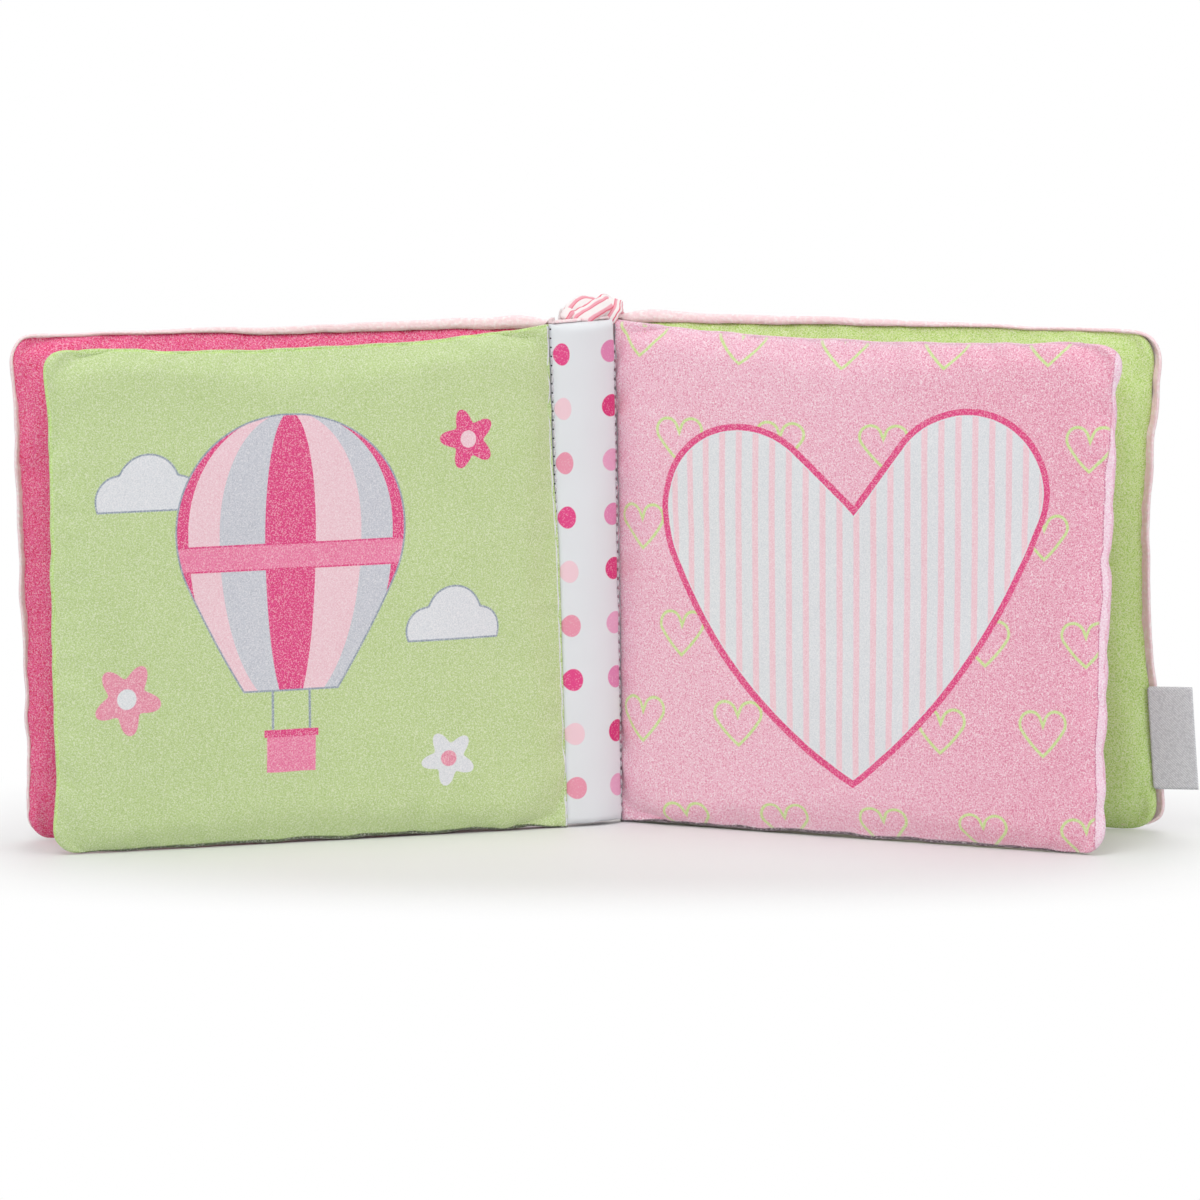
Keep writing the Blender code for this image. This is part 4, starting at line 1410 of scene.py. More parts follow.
@dataclass(frozen=True)
class Strap:
    """A flat band swept along a path."""

    width: float
    thickness: float
    sides: int = 20
    squareness: float = 0.55

    def section(self) -> tuple[np.ndarray, np.ndarray]:
        """The cross-section's offsets across and through the band."""
        turns = np.linspace(0, math.tau, self.sides, endpoint=False)
        cos, sin = np.cos(turns), np.sin(turns)
        across = np.sign(cos) * np.abs(cos) ** self.squareness * self.width / 2
        through = np.sign(sin) * np.abs(sin) ** self.squareness * self.thickness / 2
        return across, through

    def sweep(
        self, path: np.ndarray, facing: np.ndarray, taper: np.ndarray, closed: bool
    ) -> tuple:
        """Sweeps the band.

        Args:
            path: The band's middle line.
            facing: Which way its flat side looks at each point.
            taper: Its width and thickness share at each point.
            closed: Whether the band closes on itself.

        Returns:
            Points, faces and the place of each point on the flat band.
        """
        count = len(path)
        if closed:
            along = np.roll(path, -1, axis=0) - np.roll(path, 1, axis=0)
        else:
            along = np.gradient(path, axis=0)
        along /= np.linalg.norm(along, axis=1)[:, None]
        over = np.cross(along, facing)
        over /= np.linalg.norm(over, axis=1)[:, None]
        face = np.cross(over, along)
        across, through = self.section()
        steps = np.linalg.norm(np.diff(path, axis=0), axis=1)
        lengths = np.concatenate(([0.0], np.cumsum(steps)))
        points, place = [], []
        for k in range(count):
            wide, thick = (across * taper[k])[:, None], (through * taper[k])[:, None]
            points.append(path[k] + over[k] * wide + face[k] * thick)
            place.append(np.stack((across, np.full(self.sides, lengths[k]), through), axis=-1))
        faces = []
        for k in range(count if closed else count - 1):
            here, there = k * self.sides, (k + 1) % count * self.sides
            for i in range(self.sides):
                after = (i + 1) % self.sides
                faces.append((here + i, here + after, there + after, there + i))
        if not closed:
            faces.append(tuple(range(self.sides))[::-1])
            last = (count - 1) * self.sides
            faces.append(tuple(range(last, last + self.sides)))
        return np.concatenate(points), faces, np.concatenate(place)


def swept_piece(name: str, parts: list[tuple]) -> bpy.types.Object:
    """Makes one object of swept bands.

    Args:
        name: The piece's name.
        parts: Points, faces and places of each band.

    Returns:
        The object, smoothed.
    """
    points, faces, places = [], [], []
    start = 0
    for part_points, part_faces, part_places in parts:
        points.append(part_points)
        places.append(part_places)
        faces += [tuple(i + start for i in face) for face in part_faces]
        start += len(part_points)
    piece = new_object(name, np.concatenate(points).tolist(), faces)
    keep_place(piece, np.concatenate(places))
    outward(piece)
    add_smoothing(piece, 1)
    apply_modifiers(piece)
    piece.data.shade_smooth()
    return piece


def outward(piece: bpy.types.Object) -> None:
    """Turns all of a closed piece's faces outwards."""
    select_only(piece)
    bpy.ops.object.mode_set(mode="EDIT")
    bpy.ops.mesh.select_all(action="SELECT")
    bpy.ops.mesh.normals_make_consistent(inside=False)
    bpy.ops.object.mode_set(mode="OBJECT")
    piece.select_set(False)


@dataclass(frozen=True)
class SpineShape:
    """The spine between the two leaf seams: its sizes across and through it, and its lean."""

    middle: tuple[float, float]
    turn: float
    half: float = 9.85 * MM
    bead: float = 1.1 * MM
    crown: float = 2.6 * MM
    back: float = 6.9 * MM
    rounding: float = 2.4 * MM
    left_lean: tuple[float, float] = (-2.25 * MM, -1.3 * MM)
    right_lean: tuple[float, float] = (-1.2 * MM, 0.6 * MM)
    left_pull: float = -1.6 * MM
    right_pull: float = 0.85 * MM

    def lean(self, side: Side) -> tuple[float, float]:
        """How far one side's seam leans from mid height to the top."""
        return self.left_lean if side is Side.LEFT else self.right_lean

    def to_book(self, s: np.ndarray, depth: np.ndarray, z: np.ndarray) -> np.ndarray:
        """Moves points from across, behind and up the spine to the frame's axes."""
        cos, sin = math.cos(self.turn), math.sin(self.turn)
        share = np.clip((s / self.half + 1) / 2, 0.0, 1.0)
        height = 2 * (np.clip(z, 0.0, PAGE_HEIGHT) / PAGE_HEIGHT - 0.5)
        lean_x = (self.left_lean[0] * (1 - share) + self.right_lean[0] * share) * height
        lean_y = (self.left_lean[1] * (1 - share) + self.right_lean[1] * share) * height
        x = self.middle[0] + s * cos - depth * sin + lean_x
        x = x + self.left_pull * (1 - share) ** 2 + self.right_pull * share**2
        y = self.middle[1] + s * sin + depth * cos + lean_y
        return np.stack((x, y, z), axis=-1)

    def front(self, s: np.ndarray) -> np.ndarray:
        """How far the strip stands towards the reader at s."""
        edge = self.bead * quarter((self.half - np.abs(s)) / self.bead)
        return edge + self.crown * (1 - (s / self.half) ** 2)


@dataclass(frozen=True)
class Strand:
    """One run of the knot: its band, what it passes through in millimetres and its facing.

    A strand without a facing looks away from the knot's core.
    """

    strap: Strap
    through: tuple[tuple[float, float, float], ...]
    facing: tuple[float, float, float] | None


KNOT = (
    Strand(
        Strap(4.8 * MM, 2.3 * MM),
        ((-1.8, 5.0, 149.4), (-0.9, 4.6, 152.6), (2.0, 4.4, 154.9), (6.0, 4.8, 154.6),
         (9.0, 5.4, 152.6), (10.0, 5.8, 150.4)),
        (0.0, -0.65, 0.75),
    ),
    Strand(
        Strap(5.4 * MM, 2.4 * MM),
        ((-1.4, 2.4, 149.6), (1.0, 2.0, 151.4), (4.2, 1.8, 152.9), (7.6, 2.0, 154.2),
         (10.2, 3.2, 154.7), (12.2, 5.0, 153.4)),
        (-0.4, -0.8, 0.45),
    ),
    Strand(
        Strap(6.8 * MM, 2.2 * MM),
        ((15.0, 7.0, 150.4), (14.8, 5.8, 152.9), (13.2, 3.8, 154.9), (11.2, 1.8, 154.1),
         (9.4, 1.4, 152.0), (8.4, 2.6, 150.0)),
        None,
    ),
    Strand(
        Strap(4.4 * MM, 2.4 * MM),
        ((14.0, 4.4, 153.2), (16.6, 4.8, 151.8), (18.6, 5.4, 149.6)),
        (0.3, -0.5, 0.8),
    ),
    Strand(
        Strap(3.2 * MM, 2.0 * MM),
        ((-0.2, 4.4, 152.4), (-2.6, 4.2, 152.4), (-4.2, 4.0, 150.6)),
        (-0.2, -0.6, 0.8),
    ),
)


class Spine:
    """The soft spine: its dotted strip, its plush, its topstitching and the knot."""

    ROWS = 64
    EDGE_COLUMNS = (8.0, 8.6, 9.1, 9.5, 9.75, 9.85)
    FIELD_HALF = 7.2
    FIELD_COLUMNS = 15
    BEHIND = ((0.0, 0.0), (4.0, 0.1), (7.4, 0.9), (9.6, 2.6))
    STITCH_PROFILE = ((-1.0, 0.35), (-0.8, 0.85), (0.0, 1.0), (0.8, 0.85), (1.0, 0.35))
    STITCH_RADIUS = 0.30 * MM
    KNOT_SQUEEZE = 0.88
    KNOT_SHIFT = 1.1
    KNOT_CORE = (12.0, 4.2, 151.8)

    def __init__(self, shape: SpineShape, strip: StripPrint) -> None:
        """Keeps the spine's shape and where its stitches lie."""
        self.shape = shape
        self.strip_print = strip

    def heights(self) -> np.ndarray:
        """Rows from foot to top, close together at both ends."""
        near = np.array([0.0, 0.25, 0.8, 1.6, 2.6]) * MM
        field = np.linspace(near[-1], PAGE_HEIGHT - near[-1], self.ROWS)[1:-1]
        return np.concatenate((near, field, PAGE_HEIGHT - near[::-1]))

    def round_off(self, z: np.ndarray) -> np.ndarray:
        """How full the roll is at height z, less at its two ends."""
        return quarter(np.minimum(z + 0.1 * MM, PAGE_HEIGHT - z) / self.shape.rounding)

    def strip(self) -> bpy.types.Object:
        """The dotted cotton strip."""
        z = self.heights()
        edge = np.array(self.EDGE_COLUMNS)
        field = np.linspace(-self.FIELD_HALF, self.FIELD_HALF, self.FIELD_COLUMNS)
        s = np.concatenate((-edge[::-1], field, edge)) * MM
        grid_s, grid_z = np.meshgrid(s, z)
        from_line = (np.abs(grid_s) - self.strip_print.stitch_line) / (0.6 * MM)
        groove = 0.35 * MM * np.exp(-(from_line**2))
        flat = np.stack((grid_s, np.zeros_like(grid_s), grid_z), axis=-1).reshape(-1, 3)
        waves = ripple(flat, 16 * MM, Noise.SPINE.value).reshape(grid_s.shape) * 0.22 * MM
        near_seam = 1 - ease((self.shape.half - np.abs(grid_s)) / (3.5 * MM))
        pitch = self.strip_print.stitch_pitch
        pucker = 0.10 * MM * np.cos(math.tau * grid_z / pitch) * near_seam
        depth = -(self.shape.front(grid_s) - groove + waves + pucker) * self.round_off(grid_z)
        waver = ripple(flat, 6 * MM, Noise.SPINE.value + 2).reshape(grid_z.shape)
        foot = 0.8 * MM + waver * 0.5 * MM
        lifted = grid_z + foot * (1 - ease(grid_z / (6 * MM)))
        made = ClothMesh("gutter_strip_cotton", self.shape.to_book(grid_s, depth, lifted))
        made.place = np.stack((grid_s, grid_z, np.zeros_like(grid_s)), axis=-1)
        return made.build(False, 0.6 * MM, 1)

    def plush_half(self, side: Side, hinge: Vector, behind: Vector) -> bpy.types.Object:
        """One half of the spine's plush, from its middle round to the cover's seam.

        Args:
            side: Which half.
            hinge: The cover's seam.
            behind: Which way the cover's plush looks.

        Returns:
            The piece.
        """
        z = self.heights()
        cos, sin = math.cos(self.shape.turn), math.sin(self.shape.turn)
        across = Vector((cos, sin, 0.0)) * side.value
        back = Vector((-sin, cos, 0.0))
        centre = Vector((*self.shape.middle, 0.0))
        through = [
            tuple(centre + across * out * MM + back * (self.shape.back - less * MM))
            for out, less in self.BEHIND
        ]
        outline = smooth_path([*through, tuple(hinge + behind * 1.5 * MM)], 6)
        middle = (np.array(self.shape.left_lean) + np.array(self.shape.right_lean)) / 2
        outer = np.array(self.shape.lean(side))
        share = np.linspace(0.0, 1.0, len(outline))[:, None]
        lean = middle * (1 - share) + outer * share
        height = (2 * (z / PAGE_HEIGHT - 0.5))[:, None]
        full = self.round_off(z)[:, None]
        out = (outline - np.array(centre)) @ np.array(across)
        on_seam = np.array(centre)[None, :] + np.outer(out, np.array(across))
        points = np.zeros((len(z), len(outline), 3))
        for axis in range(2):
            level = on_seam[None, :, axis]
            rounded = level + (outline[None, :, axis] - level) * full
            points[..., axis] = rounded + height * lean[None, :, axis]
        points[..., 2] = (0.95 * MM + z * (PAGE_HEIGHT + 0.1 * MM) / PAGE_HEIGHT)[:, None]
        flat = points.reshape(-1, 3)
        tufts = ripple(flat, 2.2 * MM, Noise.SPINE.value, 1) * 0.25 * MM
        lifted = flat + np.array(back) * tufts[:, None]
        made = ClothMesh(f"spine_plush_{side.name.lower()}", lifted.reshape(points.shape))
        return made.build(side is Side.RIGHT, 0.9 * MM, 1)

    def stitches(self, side: Side) -> bpy.types.Object:
        """The row of stitches along one edge of the strip."""
        drawn = self.strip_print
        s = side.value * drawn.stitch_line
        depth = -(float(self.shape.front(np.array(s))) - 0.05 * MM)
        length, radius = drawn.stitch_pitch * 0.36, self.STITCH_RADIUS
        turns = np.linspace(0, math.tau, 8, endpoint=False)
        sides, rows = len(turns), len(self.STITCH_PROFILE)
        points, faces = [], []
        first = round(4 * MM / drawn.stitch_pitch) + 0.5
        for k in range(int((PAGE_HEIGHT - 8 * MM) / drawn.stitch_pitch)):
            start = k * rows * sides
            for along, thick in self.STITCH_PROFILE:
                z = np.full(sides, (first + k) * drawn.stitch_pitch + along * length)
                sunk = depth + (1 - thick) * 0.35 * MM
                over, through = radius * thick * np.cos(turns), radius * thick * np.sin(turns)
                points.append(self.shape.to_book(s + over, sunk + through, z))
            for j in range(rows - 1):
                for i in range(sides):
                    a, b = start + j * sides + i, start + j * sides + (i + 1) % sides
                    faces.append((a, b, b + sides, a + sides))
            faces.append(tuple(start + i for i in range(sides))[::-1])
            faces.append(tuple(start + (rows - 1) * sides + i for i in range(sides)))
        name = f"{side.name.lower()}_seam_stitches"
        piece = new_object(name, np.concatenate(points).tolist(), faces)
        outward(piece)
        piece.data.shade_smooth()
        return piece

    def knot(self) -> bpy.types.Object:
        """The knotted band on top: an arch, what crosses it, the turn round both and two ends."""
        parts = []
        for strand in KNOT:
            strap = strand.strap
            placed = [
                ((self.KNOT_SQUEEZE * x + self.KNOT_SHIFT) * MM, y * MM, z * MM)
                for x, y, z in strand.through
            ]
            path = smooth_path(placed, 7)
            if strand.facing is None:
                looks = path - np.array(self.KNOT_CORE) * MM
            else:
                looks = np.tile(np.array(strand.facing), (len(path), 1))
            ends = np.minimum(np.arange(len(path)), np.arange(len(path))[::-1]) / 3
            taper = 0.82 + 0.18 * np.clip(ends, 0, 1)
            points, faces, places = strap.sweep(path, looks, taper, False)
            creases = ripple(points, 3.2 * MM, Noise.BAND.value, 2) * 0.28 * MM
            from_path = points - np.repeat(path, strap.sides, axis=0)
            points = points + from_path * (creases / strap.thickness * 2)[:, None]
            parts.append((self.shape.to_book(*points.T), faces, places))
        return swept_piece("knotted_band", parts)


@dataclass(frozen=True)
class HangingLoop:
    """The drop-shaped band loop behind the spine."""

    axis: tuple[float, float, float]
    turn: float
    hang: float = 44.0 * MM
    back: float = 5.3 * MM
    top_radius: float = 1.0 * MM
    bottom_radius: float = 7.8 * MM
    width: float = 6.6 * MM
    thickness: float = 1.5 * MM
    spacing: float = 2.5 * MM
    shift: tuple[float, float] = (1.3 * MM, -1.2 * MM)

    def outline(self) -> np.ndarray:
        """The band's middle line as depth and height from the axis."""
        bottom = np.array((self.back, -self.hang))
        gap = float(np.linalg.norm(bottom))
        lean = math.atan2(self.back, self.hang)
        flare = math.asin((self.bottom_radius - self.top_radius) / gap)
        points = []
        arcs = (
            (np.zeros(2), self.top_radius, flare, math.pi - flare, 9),
            (bottom, self.bottom_radius, math.pi - flare, math.tau + flare, 22),
        )
        for centre, radius, start, end, count in arcs:
            for turn in np.linspace(start, end, count) + lean:
                points.append(centre + radius * np.array((math.cos(turn), math.sin(turn))))
        dense = []
        for k, point in enumerate(points):
            after = points[(k + 1) % len(points)]
            steps = max(1, round(float(np.linalg.norm(after - point)) / self.spacing))
            dense += [point + (after - point) * i / steps for i in range(steps)]
        return np.array(dense)

    def build(self) -> bpy.types.Object:
        """Makes the loop."""
        line = self.outline()
        cos, sin = math.cos(self.turn), math.sin(self.turn)
        depth, height = line[:, 0], line[:, 1]
        x = self.axis[0] - depth * sin + self.shift[0]
        y = self.axis[1] + depth * cos
        path = np.stack((x, y, self.axis[2] + height + self.shift[1]), axis=-1)
        middle = path.mean(axis=0)
        strap = Strap(self.width, self.thickness, sides=16, squareness=0.45)
        swept = strap.sweep(path, path - middle, np.ones(len(path)), True)
        return swept_piece("hanging_loop_band", [swept])


@dataclass(frozen=True)
class SatinTab:
    """The folded satin tab in a cover's outer seam."""

    stand: Stand
    foot: float = 12.5 * MM
    height: float = 30.8 * MM
    proud: float = 13.4 * MM
    gap: float = 0.36 * MM
    rim: float = 0.0
    front: float = 1.7 * MM
    slant: float = 0.06

    def build(self) -> bpy.types.Object:
        """Makes the tab: one strip of satin folded at its outer end, both ends in the seam."""
        turn = np.linspace(-math.pi / 2, math.pi / 2, 7)
        out = np.linspace(0.0, self.proud - self.gap, 12)
        layer = np.full(len(out), self.gap)
        u = np.concatenate((out, out[-1] + self.gap * np.cos(turn)[1:-1], out[::-1]))
        through = np.concatenate((-layer, self.gap * np.sin(turn)[1:-1], layer))
        z = np.linspace(0.0, self.height, 15)
        grid_u, grid_z = np.meshgrid(u, z)
        grid_w = np.tile(through, (len(z), 1))
        curl = 0.5 * MM * np.sin(grid_z / self.height * math.pi) * (grid_u / self.proud)
        face = -self.stand.side.value
        slant = (self.height / 2 - grid_z) * self.slant
        w = face * (self.front + curl) + grid_w
        local = np.stack((self.rim + grid_u + slant, w, self.foot + grid_z), axis=-1)
        made = ClothMesh("satin_tab", self.stand.to_book(local))
        length = np.concatenate(([0.0], np.cumsum(np.hypot(np.diff(u), np.diff(through)))))
        along = np.tile(length, (len(z), 1))
        made.place = np.stack((along, grid_z, np.zeros_like(grid_z)), axis=-1)
        return made.build(False, 0.25 * MM, 1)


class Studio:
    """The pale floor, soft lights and the camera at the photograph's angle."""

    ELEVATION_DEG = 7.2
    DISTANCE = 3.5
    PIXELS_PER_METRE = 3380.0
    SENSOR = 36.0
    FRAME_PIXELS = 1200

    def __init__(self, look_at: tuple[float, float, float]) -> None:
        """Keeps the point that the camera looks at."""
        self.look_at = Vector(look_at)

    def camera(self) -> None:
        """Puts the camera in place."""
        pitch = math.radians(self.ELEVATION_DEG)
        data = bpy.data.cameras.new("camera")
        data.sensor_width = self.SENSOR
        data.lens = self.PIXELS_PER_METRE * self.DISTANCE / self.FRAME_PIXELS * self.SENSOR
        camera = bpy.data.objects.new("camera", data)
        bpy.context.collection.objects.link(camera)
        back = Vector((0, -math.cos(pitch), math.sin(pitch)))
        camera.location = self.look_at + back * self.DISTANCE
        camera.rotation_euler = (math.pi / 2 - pitch, 0, 0)
        bpy.context.scene.camera = camera

    def lamp(
        self, name: str, place: tuple[float, float, float], size: float, power: float
    ) -> None:
        """Adds a soft lamp that looks at the book."""
        data = bpy.data.lights.new(name, "AREA")
        data.shape = "DISK"
        data.size = size
        data.energy = power
        lamp = bpy.data.objects.new(name, data)
        bpy.context.collection.objects.link(lamp)
        lamp.location = place
        lamp.rotation_euler = (self.look_at - Vector(place)).to_track_quat("-Z", "Y").to_euler()

    def world(self) -> None:
        """White to the camera and a plain soft light on the book."""
        world = bpy.data.worlds.new("studio")
        world.use_nodes = True
        bpy.context.scene.world = world
        nodes = Nodes(world.node_tree)
        background = world.node_tree.nodes["Background"]
        path = nodes.add("LightPath")
        seen = nodes.math("MAXIMUM", path.outputs["Is Camera Ray"], path.outputs["Is Glossy Ray"])
        nodes.feed(background.inputs["Color"], (1, 1, 1, 1))
        nodes.feed(background.inputs["Strength"], nodes.math("MULTIPLY_ADD", seen, 0.61, 0.39))

    def floor(self) -> None:
        """The pale floor, which keeps the book's shadow and fades to white."""
        bpy.ops.mesh.primitive_plane_add(size=40, location=(0, 0, 0))
        floor = bpy.context.active_object
        floor.name = "studio_floor"
        material = bpy.data.materials.new("pale_floor")
        material.use_nodes = True
        nodes = Nodes(material.node_tree)
        shader = material.node_tree.nodes["Principled BSDF"]
        shader.inputs["Base Color"].default_value = (0.76, 0.765, 0.765, 1)
        shader.inputs["Roughness"].default_value = 0.6
        place = nodes.add("TexCoord").outputs["Object"]
        away = nodes.measure("LENGTH", nodes.vector("MULTIPLY", place, (0.6, 1.0, 0.0)).outputs[0])
        glow = nodes.add("Emission")
        glow.inputs["Color"].default_value = (1, 1, 1, 1)
        far = nodes.between(away, 0.075, 0.165)
        share = nodes.math("MULTIPLY", far, nodes.add("LightPath").outputs["Is Camera Ray"])
        blend = nodes.add("MixShader")
        nodes.feed(blend.inputs[0], share)
        nodes.feed(blend.inputs[1], shader.outputs[0])
        nodes.feed(blend.inputs[2], glow.outputs[0])
        nodes.feed(material.node_tree.nodes["Material Output"].inputs["Surface"], blend.outputs[0])
        floor.data.materials.append(material)

    def build(self) -> None:
        """Sets the whole studio up."""
        self.camera()
        self.world()
        self.floor()
        self.lamp("key_lamp", (-0.5, -1.4, 1.8), 1.2, 16.0)
        self.lamp("fill_lamp", (-1.5, -1.0, 0.9), 1.2, 4.5)
        self.lamp("right_lamp", (1.3, -1.2, 0.9), 1.2, 7.5)
        self.lamp("top_lamp", (0.3, -0.1, 2.0), 1.4, 11.0)
        self.lamp("rear_lamp", (0.2, 1.6, 1.3), 1.4, 9.0)
        bpy.context.scene.view_settings.view_transform = "Standard"


@dataclass(frozen=True)
class PagePlan:
    """One page: what carries it, how it stands and hangs, how it is padded and sewn."""

    body: str
    carrier: str
    side: Side
    forward_deg: float
    twist_deg: float
    width: float
    hang: dict[str, object]
    padding: Padding
    sewing: Sewing
    seed: Noise


LEAF_SEWING = Sewing(pressure=2.0, slack=0.02, stiffness=12.0)
COVER_SEWING = Sewing(pressure=2.4, slack=0.02, stiffness=12.0)
LEAF_EDGE = {"edge": 2.0 * MM, "crown": 1.0 * MM, "bead": 1.1 * MM, "rounding": 2.8 * MM}
COVER_EDGE = {"edge": 2.3 * MM, "crown": 1.2 * MM, "bead": 1.8 * MM, "rounding": 3.4 * MM}

LEAVES = (
    PagePlan(
        body="left_leaf",
        carrier="spine",
        side=Side.LEFT,
        forward_deg=22.3,
        twist_deg=3.6,
        width=160 * MM,
        hang={"drop": (2.2 * MM, 0.6 * MM), "dip": 1.25 * MM, "pull": SpineShape.left_pull,
              "tuck": 1.1 * MM},
        padding=Padding(**LEAF_EDGE, flare=6.2 * MM),
        sewing=LEAF_SEWING,
        seed=Noise.LEFT_LEAF,
    ),
    PagePlan(
        body="right_leaf",
        carrier="spine",
        side=Side.RIGHT,
        forward_deg=25.5,
        twist_deg=-1.6,
        width=160 * MM,
        hang={"drop": (1.3 * MM, 0.0), "dip": 1.6 * MM, "pull": SpineShape.right_pull},
        padding=Padding(**LEAF_EDGE, flare=2.4 * MM, notch=1.4 * MM),
        sewing=LEAF_SEWING,
        seed=Noise.RIGHT_LEAF,
    ),
)

COVERS = (
    PagePlan(
        body="front_cover",
        carrier="left_leaf",
        side=Side.LEFT,
        forward_deg=10.5,
        twist_deg=1.0,
        width=159.8 * MM,
        hang={"drop": (0.5 * MM, 0.5 * MM)},
        padding=Padding(**COVER_EDGE, flare=5.4 * MM, waist=0.9 * MM),
        sewing=COVER_SEWING,
        seed=Noise.FRONT_COVER,
    ),
    PagePlan(
        body="back_cover",
        carrier="right_leaf",
        side=Side.RIGHT,
        forward_deg=9.1,
        twist_deg=4.0,
        width=159.3 * MM,
        hang={"drop": (0.0, 0.9 * MM)},
        padding=Padding(**COVER_EDGE, flare=-0.8 * MM, waist=4.2 * MM, corner_reach=66 * MM),
        sewing=COVER_SEWING,
        seed=Noise.BACK_COVER,
    ),
)


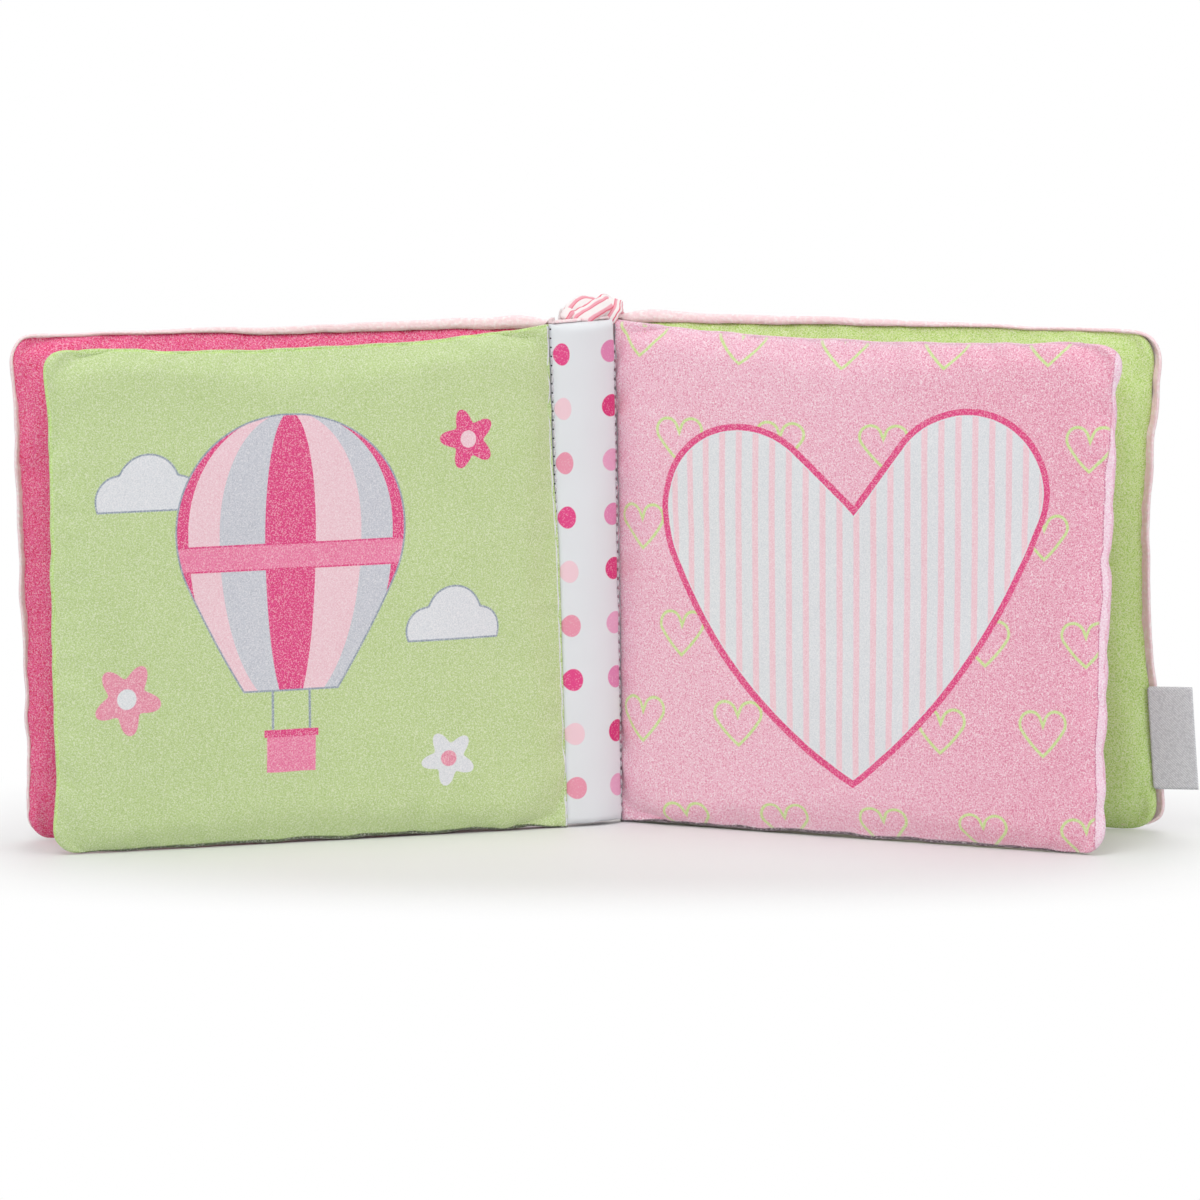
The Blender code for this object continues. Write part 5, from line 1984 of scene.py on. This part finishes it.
class ClothBook:
    """The whole book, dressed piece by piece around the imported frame."""

    LEAN_LEFT = (-2.25 * MM, -1.3 * MM)
    LEAN_RIGHT = (-1.05 * MM, 0.6 * MM)
    PLAIN_CLOTH = 0.5 * MM
    PLUSH_CLOTH = 0.9 * MM
    PILE = 1.6 * MM

    def __init__(self, frame: dict) -> None:
        """Reads the seams' places from the frame and lays out the finishes."""
        self.palette = Palette()
        self.prints = Prints(Effects(), self.palette)
        self.places = {j["name"]: Vector(j["pos_m"]) for j in frame["joints"] if "pos_m" in j}

    def page(self, plan: PagePlan) -> PaddedPage:
        """Lays out a page on its joint."""
        seam = self.places[f"{plan.body}_hinge"]
        stand = Stand(
            side=plan.side,
            seam=(seam.x, seam.y),
            forward_deg=plan.forward_deg,
            twist_deg=plan.twist_deg,
            lean=self.LEAN_LEFT if plan.side is Side.LEFT else self.LEAN_RIGHT,
            width=plan.width,
            **plan.hang,
        )
        return PaddedPage(plan.body, stand, plan.padding, plan.sewing, plan.seed)

    def dress(
        self, piece: bpy.types.Object, material: bpy.types.Material, slot: str, *nodes: str
    ) -> None:
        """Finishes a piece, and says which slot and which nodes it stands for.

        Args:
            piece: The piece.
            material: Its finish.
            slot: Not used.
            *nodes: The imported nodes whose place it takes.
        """
        piece.data.materials.append(material)
        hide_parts(*nodes)
        LOG.info("%s: %d faces", piece.name, len(piece.data.polygons))

    def sew_on(self, piece: bpy.types.Object) -> None:
        """Bakes a page's cloth's transform into its mesh."""
        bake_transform(piece)

    def leaves(self) -> None:
        """The two printed leaves."""
        prints, hues = self.prints, self.palette
        balloons = prints.balloon_leaf(BalloonPrint())
        lime = prints.plain("lime_reverse_cloth", hues.lime, hues.lime_reverse_rim, True)
        hearts = prints.heart_leaf(HeartPrint())
        pink = prints.plain("pink_reverse_cloth", hues.pink, hues.rim, True)
        finishes = (
            (balloons, "lime_print", lime, "lime_reverse"),
            (hearts, "pink_print", pink, "pink_reverse"),
        )
        for plan, (printed, print_slot, reverse, reverse_slot) in zip(LEAVES, finishes):
            page, body, face = self.page(plan), plan.body, -plan.side.value
            cloths = dict(zip((1, -1), page.filled()))
            held = [f"{body}_front_cloth", f"{body}_crinkle_film", f"{body}_wadding"]
            for name, way, material, slot, nodes in (
                (f"{body}_front_printed", face, printed, print_slot, held),
                (f"{body}_reverse", -face, reverse, reverse_slot, [f"{body}_back_cloth"]),
            ):
                piece = page.cloth(name, cloths[way], way, ClothFinish(self.PLAIN_CLOTH, 1))
                self.dress(piece, material, slot, *nodes)
                self.sew_on(piece)

    def covers(self, plush: bpy.types.Material) -> dict[Side, Stand]:
        """The two covers: lining inside, plush outside.

        Args:
            plush: The plush.

        Returns:
            How each cover stands.
        """
        hues = self.palette
        finishes = (
            ("magenta_lining", hues.magenta, hues.magenta_rim, 0.3 * MM, (3.2 * MM, 0.6 * MM)),
            ("green_lining", hues.green, hues.green_rim, 2.4 * MM, (3.0 * MM, 0.5 * MM)),
        )
        stands = {}
        for plan, (slot, hue, rim, past_rim, past_top) in zip(COVERS, finishes):
            page, body, face = self.page(plan), plan.body, -plan.side.value
            stands[plan.side] = page.stand
            cloths = dict(zip((1, -1), page.filled()))
            inside = ClothFinish(self.PLAIN_CLOTH, 1, seam_dip=1.5 * MM)
            outside = ClothFinish(self.PLUSH_CLOTH, 1, self.PILE, past_rim, past_top)
            lining = page.cloth(f"{body}_lining_cloth", cloths[face], face, inside)
            cloth = self.prints.plain(f"{slot}_cloth", hue, rim)
            self.dress(lining, cloth, slot, f"{body}_lining", f"{body}_wadding")
            back = page.cloth(f"{body}_plush_cloth", cloths[-face], -face, outside)
            self.dress(back, plush, "pale_pink_plush", f"{body}_plush")
            for piece in (lining, back):
                self.sew_on(piece)
        return stands

    def spine(self, covers: dict[Side, Stand], plush: bpy.types.Material) -> None:
        """The spine with its stitching, knot and loop.

        Args:
            covers: How the covers stand.
            plush: The plush.
        """
        left, right = self.places["left_leaf_hinge"], self.places["right_leaf_hinge"]
        middle = (left + right) / 2
        turn = math.atan2(right.y - left.y, right.x - left.x)
        strip_print = StripPrint()
        spine = Spine(SpineShape((middle.x, middle.y), turn), strip_print)
        strip = spine.strip()
        dotted = self.prints.dotted_strip(strip_print)
        self.dress(strip, dotted, "white_dotted_cotton", "gutter_strip", "spine_wadding")
        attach(strip, "spine")
        thread = self.prints.thread()
        for plan in COVERS:
            side, hinge = plan.side, self.places[f"{plan.body}_hinge"]
            out = covers[side].direction()
            behind = Vector((-out.y, out.x, 0.0)) * side.value
            half = spine.plush_half(side, hinge.copy(), behind)
            self.dress(half, plush, "pale_pink_plush", "spine_plush")
            self.bend_back(half, spine.shape, plan, middle)
            stitches = spine.stitches(side)
            self.dress(stitches, thread, "white_thread", f"{side.name.lower()}_seam_thread")
            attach(stitches, "spine")
        band = self.prints.striped_band()
        knot = spine.knot()
        self.dress(knot, band, "striped_cotton_band", "loop_knot")
        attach(knot, "spine")
        loop = HangingLoop(tuple(self.places["hanging_loop_swing"]), turn).build()
        self.dress(loop, band, "striped_cotton_band", "hanging_loop")
        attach(loop, "hanging_loop")

    def bend_back(
        self, half: bpy.types.Object, shape: SpineShape, plan: PagePlan, middle: Vector
    ) -> None:
        """Bakes half of the spine's plush in place; the seam's direction and a start point are
        worked out but not used.

        Args:
            half: The piece.
            shape: The spine's shape.
            plan: The cover that the half is sewn to.
            middle: The spine's middle.
        """
        across = Vector((math.cos(shape.turn), math.sin(shape.turn), 0.0)) * plan.side.value
        lean = Vector((*shape.lean(plan.side), 0.0))
        near = 5.5 * MM
        start = middle + across * near
        start.z = PAGE_HEIGHT / 2
        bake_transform(half)

    def tab(self, stand: Stand) -> None:
        """The satin tab in the back cover's outer seam."""
        tab = SatinTab(stand, rim=stand.width - 1.9 * MM).build()
        self.dress(tab, self.prints.satin(), "grey_satin_label", "woven_label")
        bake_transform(tab)

    def build(self) -> None:
        """Builds every piece."""
        self.leaves()
        plush = self.prints.plush()
        stands = self.covers(plush)
        self.spine(stands, plush)
        self.tab(stands[Side.RIGHT])


def main() -> None:
    """Dresses the book."""
    logging.basicConfig(level=logging.INFO, format="%(name)s %(message)s")
    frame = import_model()
    book = ClothBook(frame)
    middle = (book.places["left_leaf_hinge"] + book.places["right_leaf_hinge"]) / 2
    Studio((middle.x + 3.55 * MM, middle.y, 67.2 * MM)).build()
    book.build()


if __name__ == "__main__":
    main()
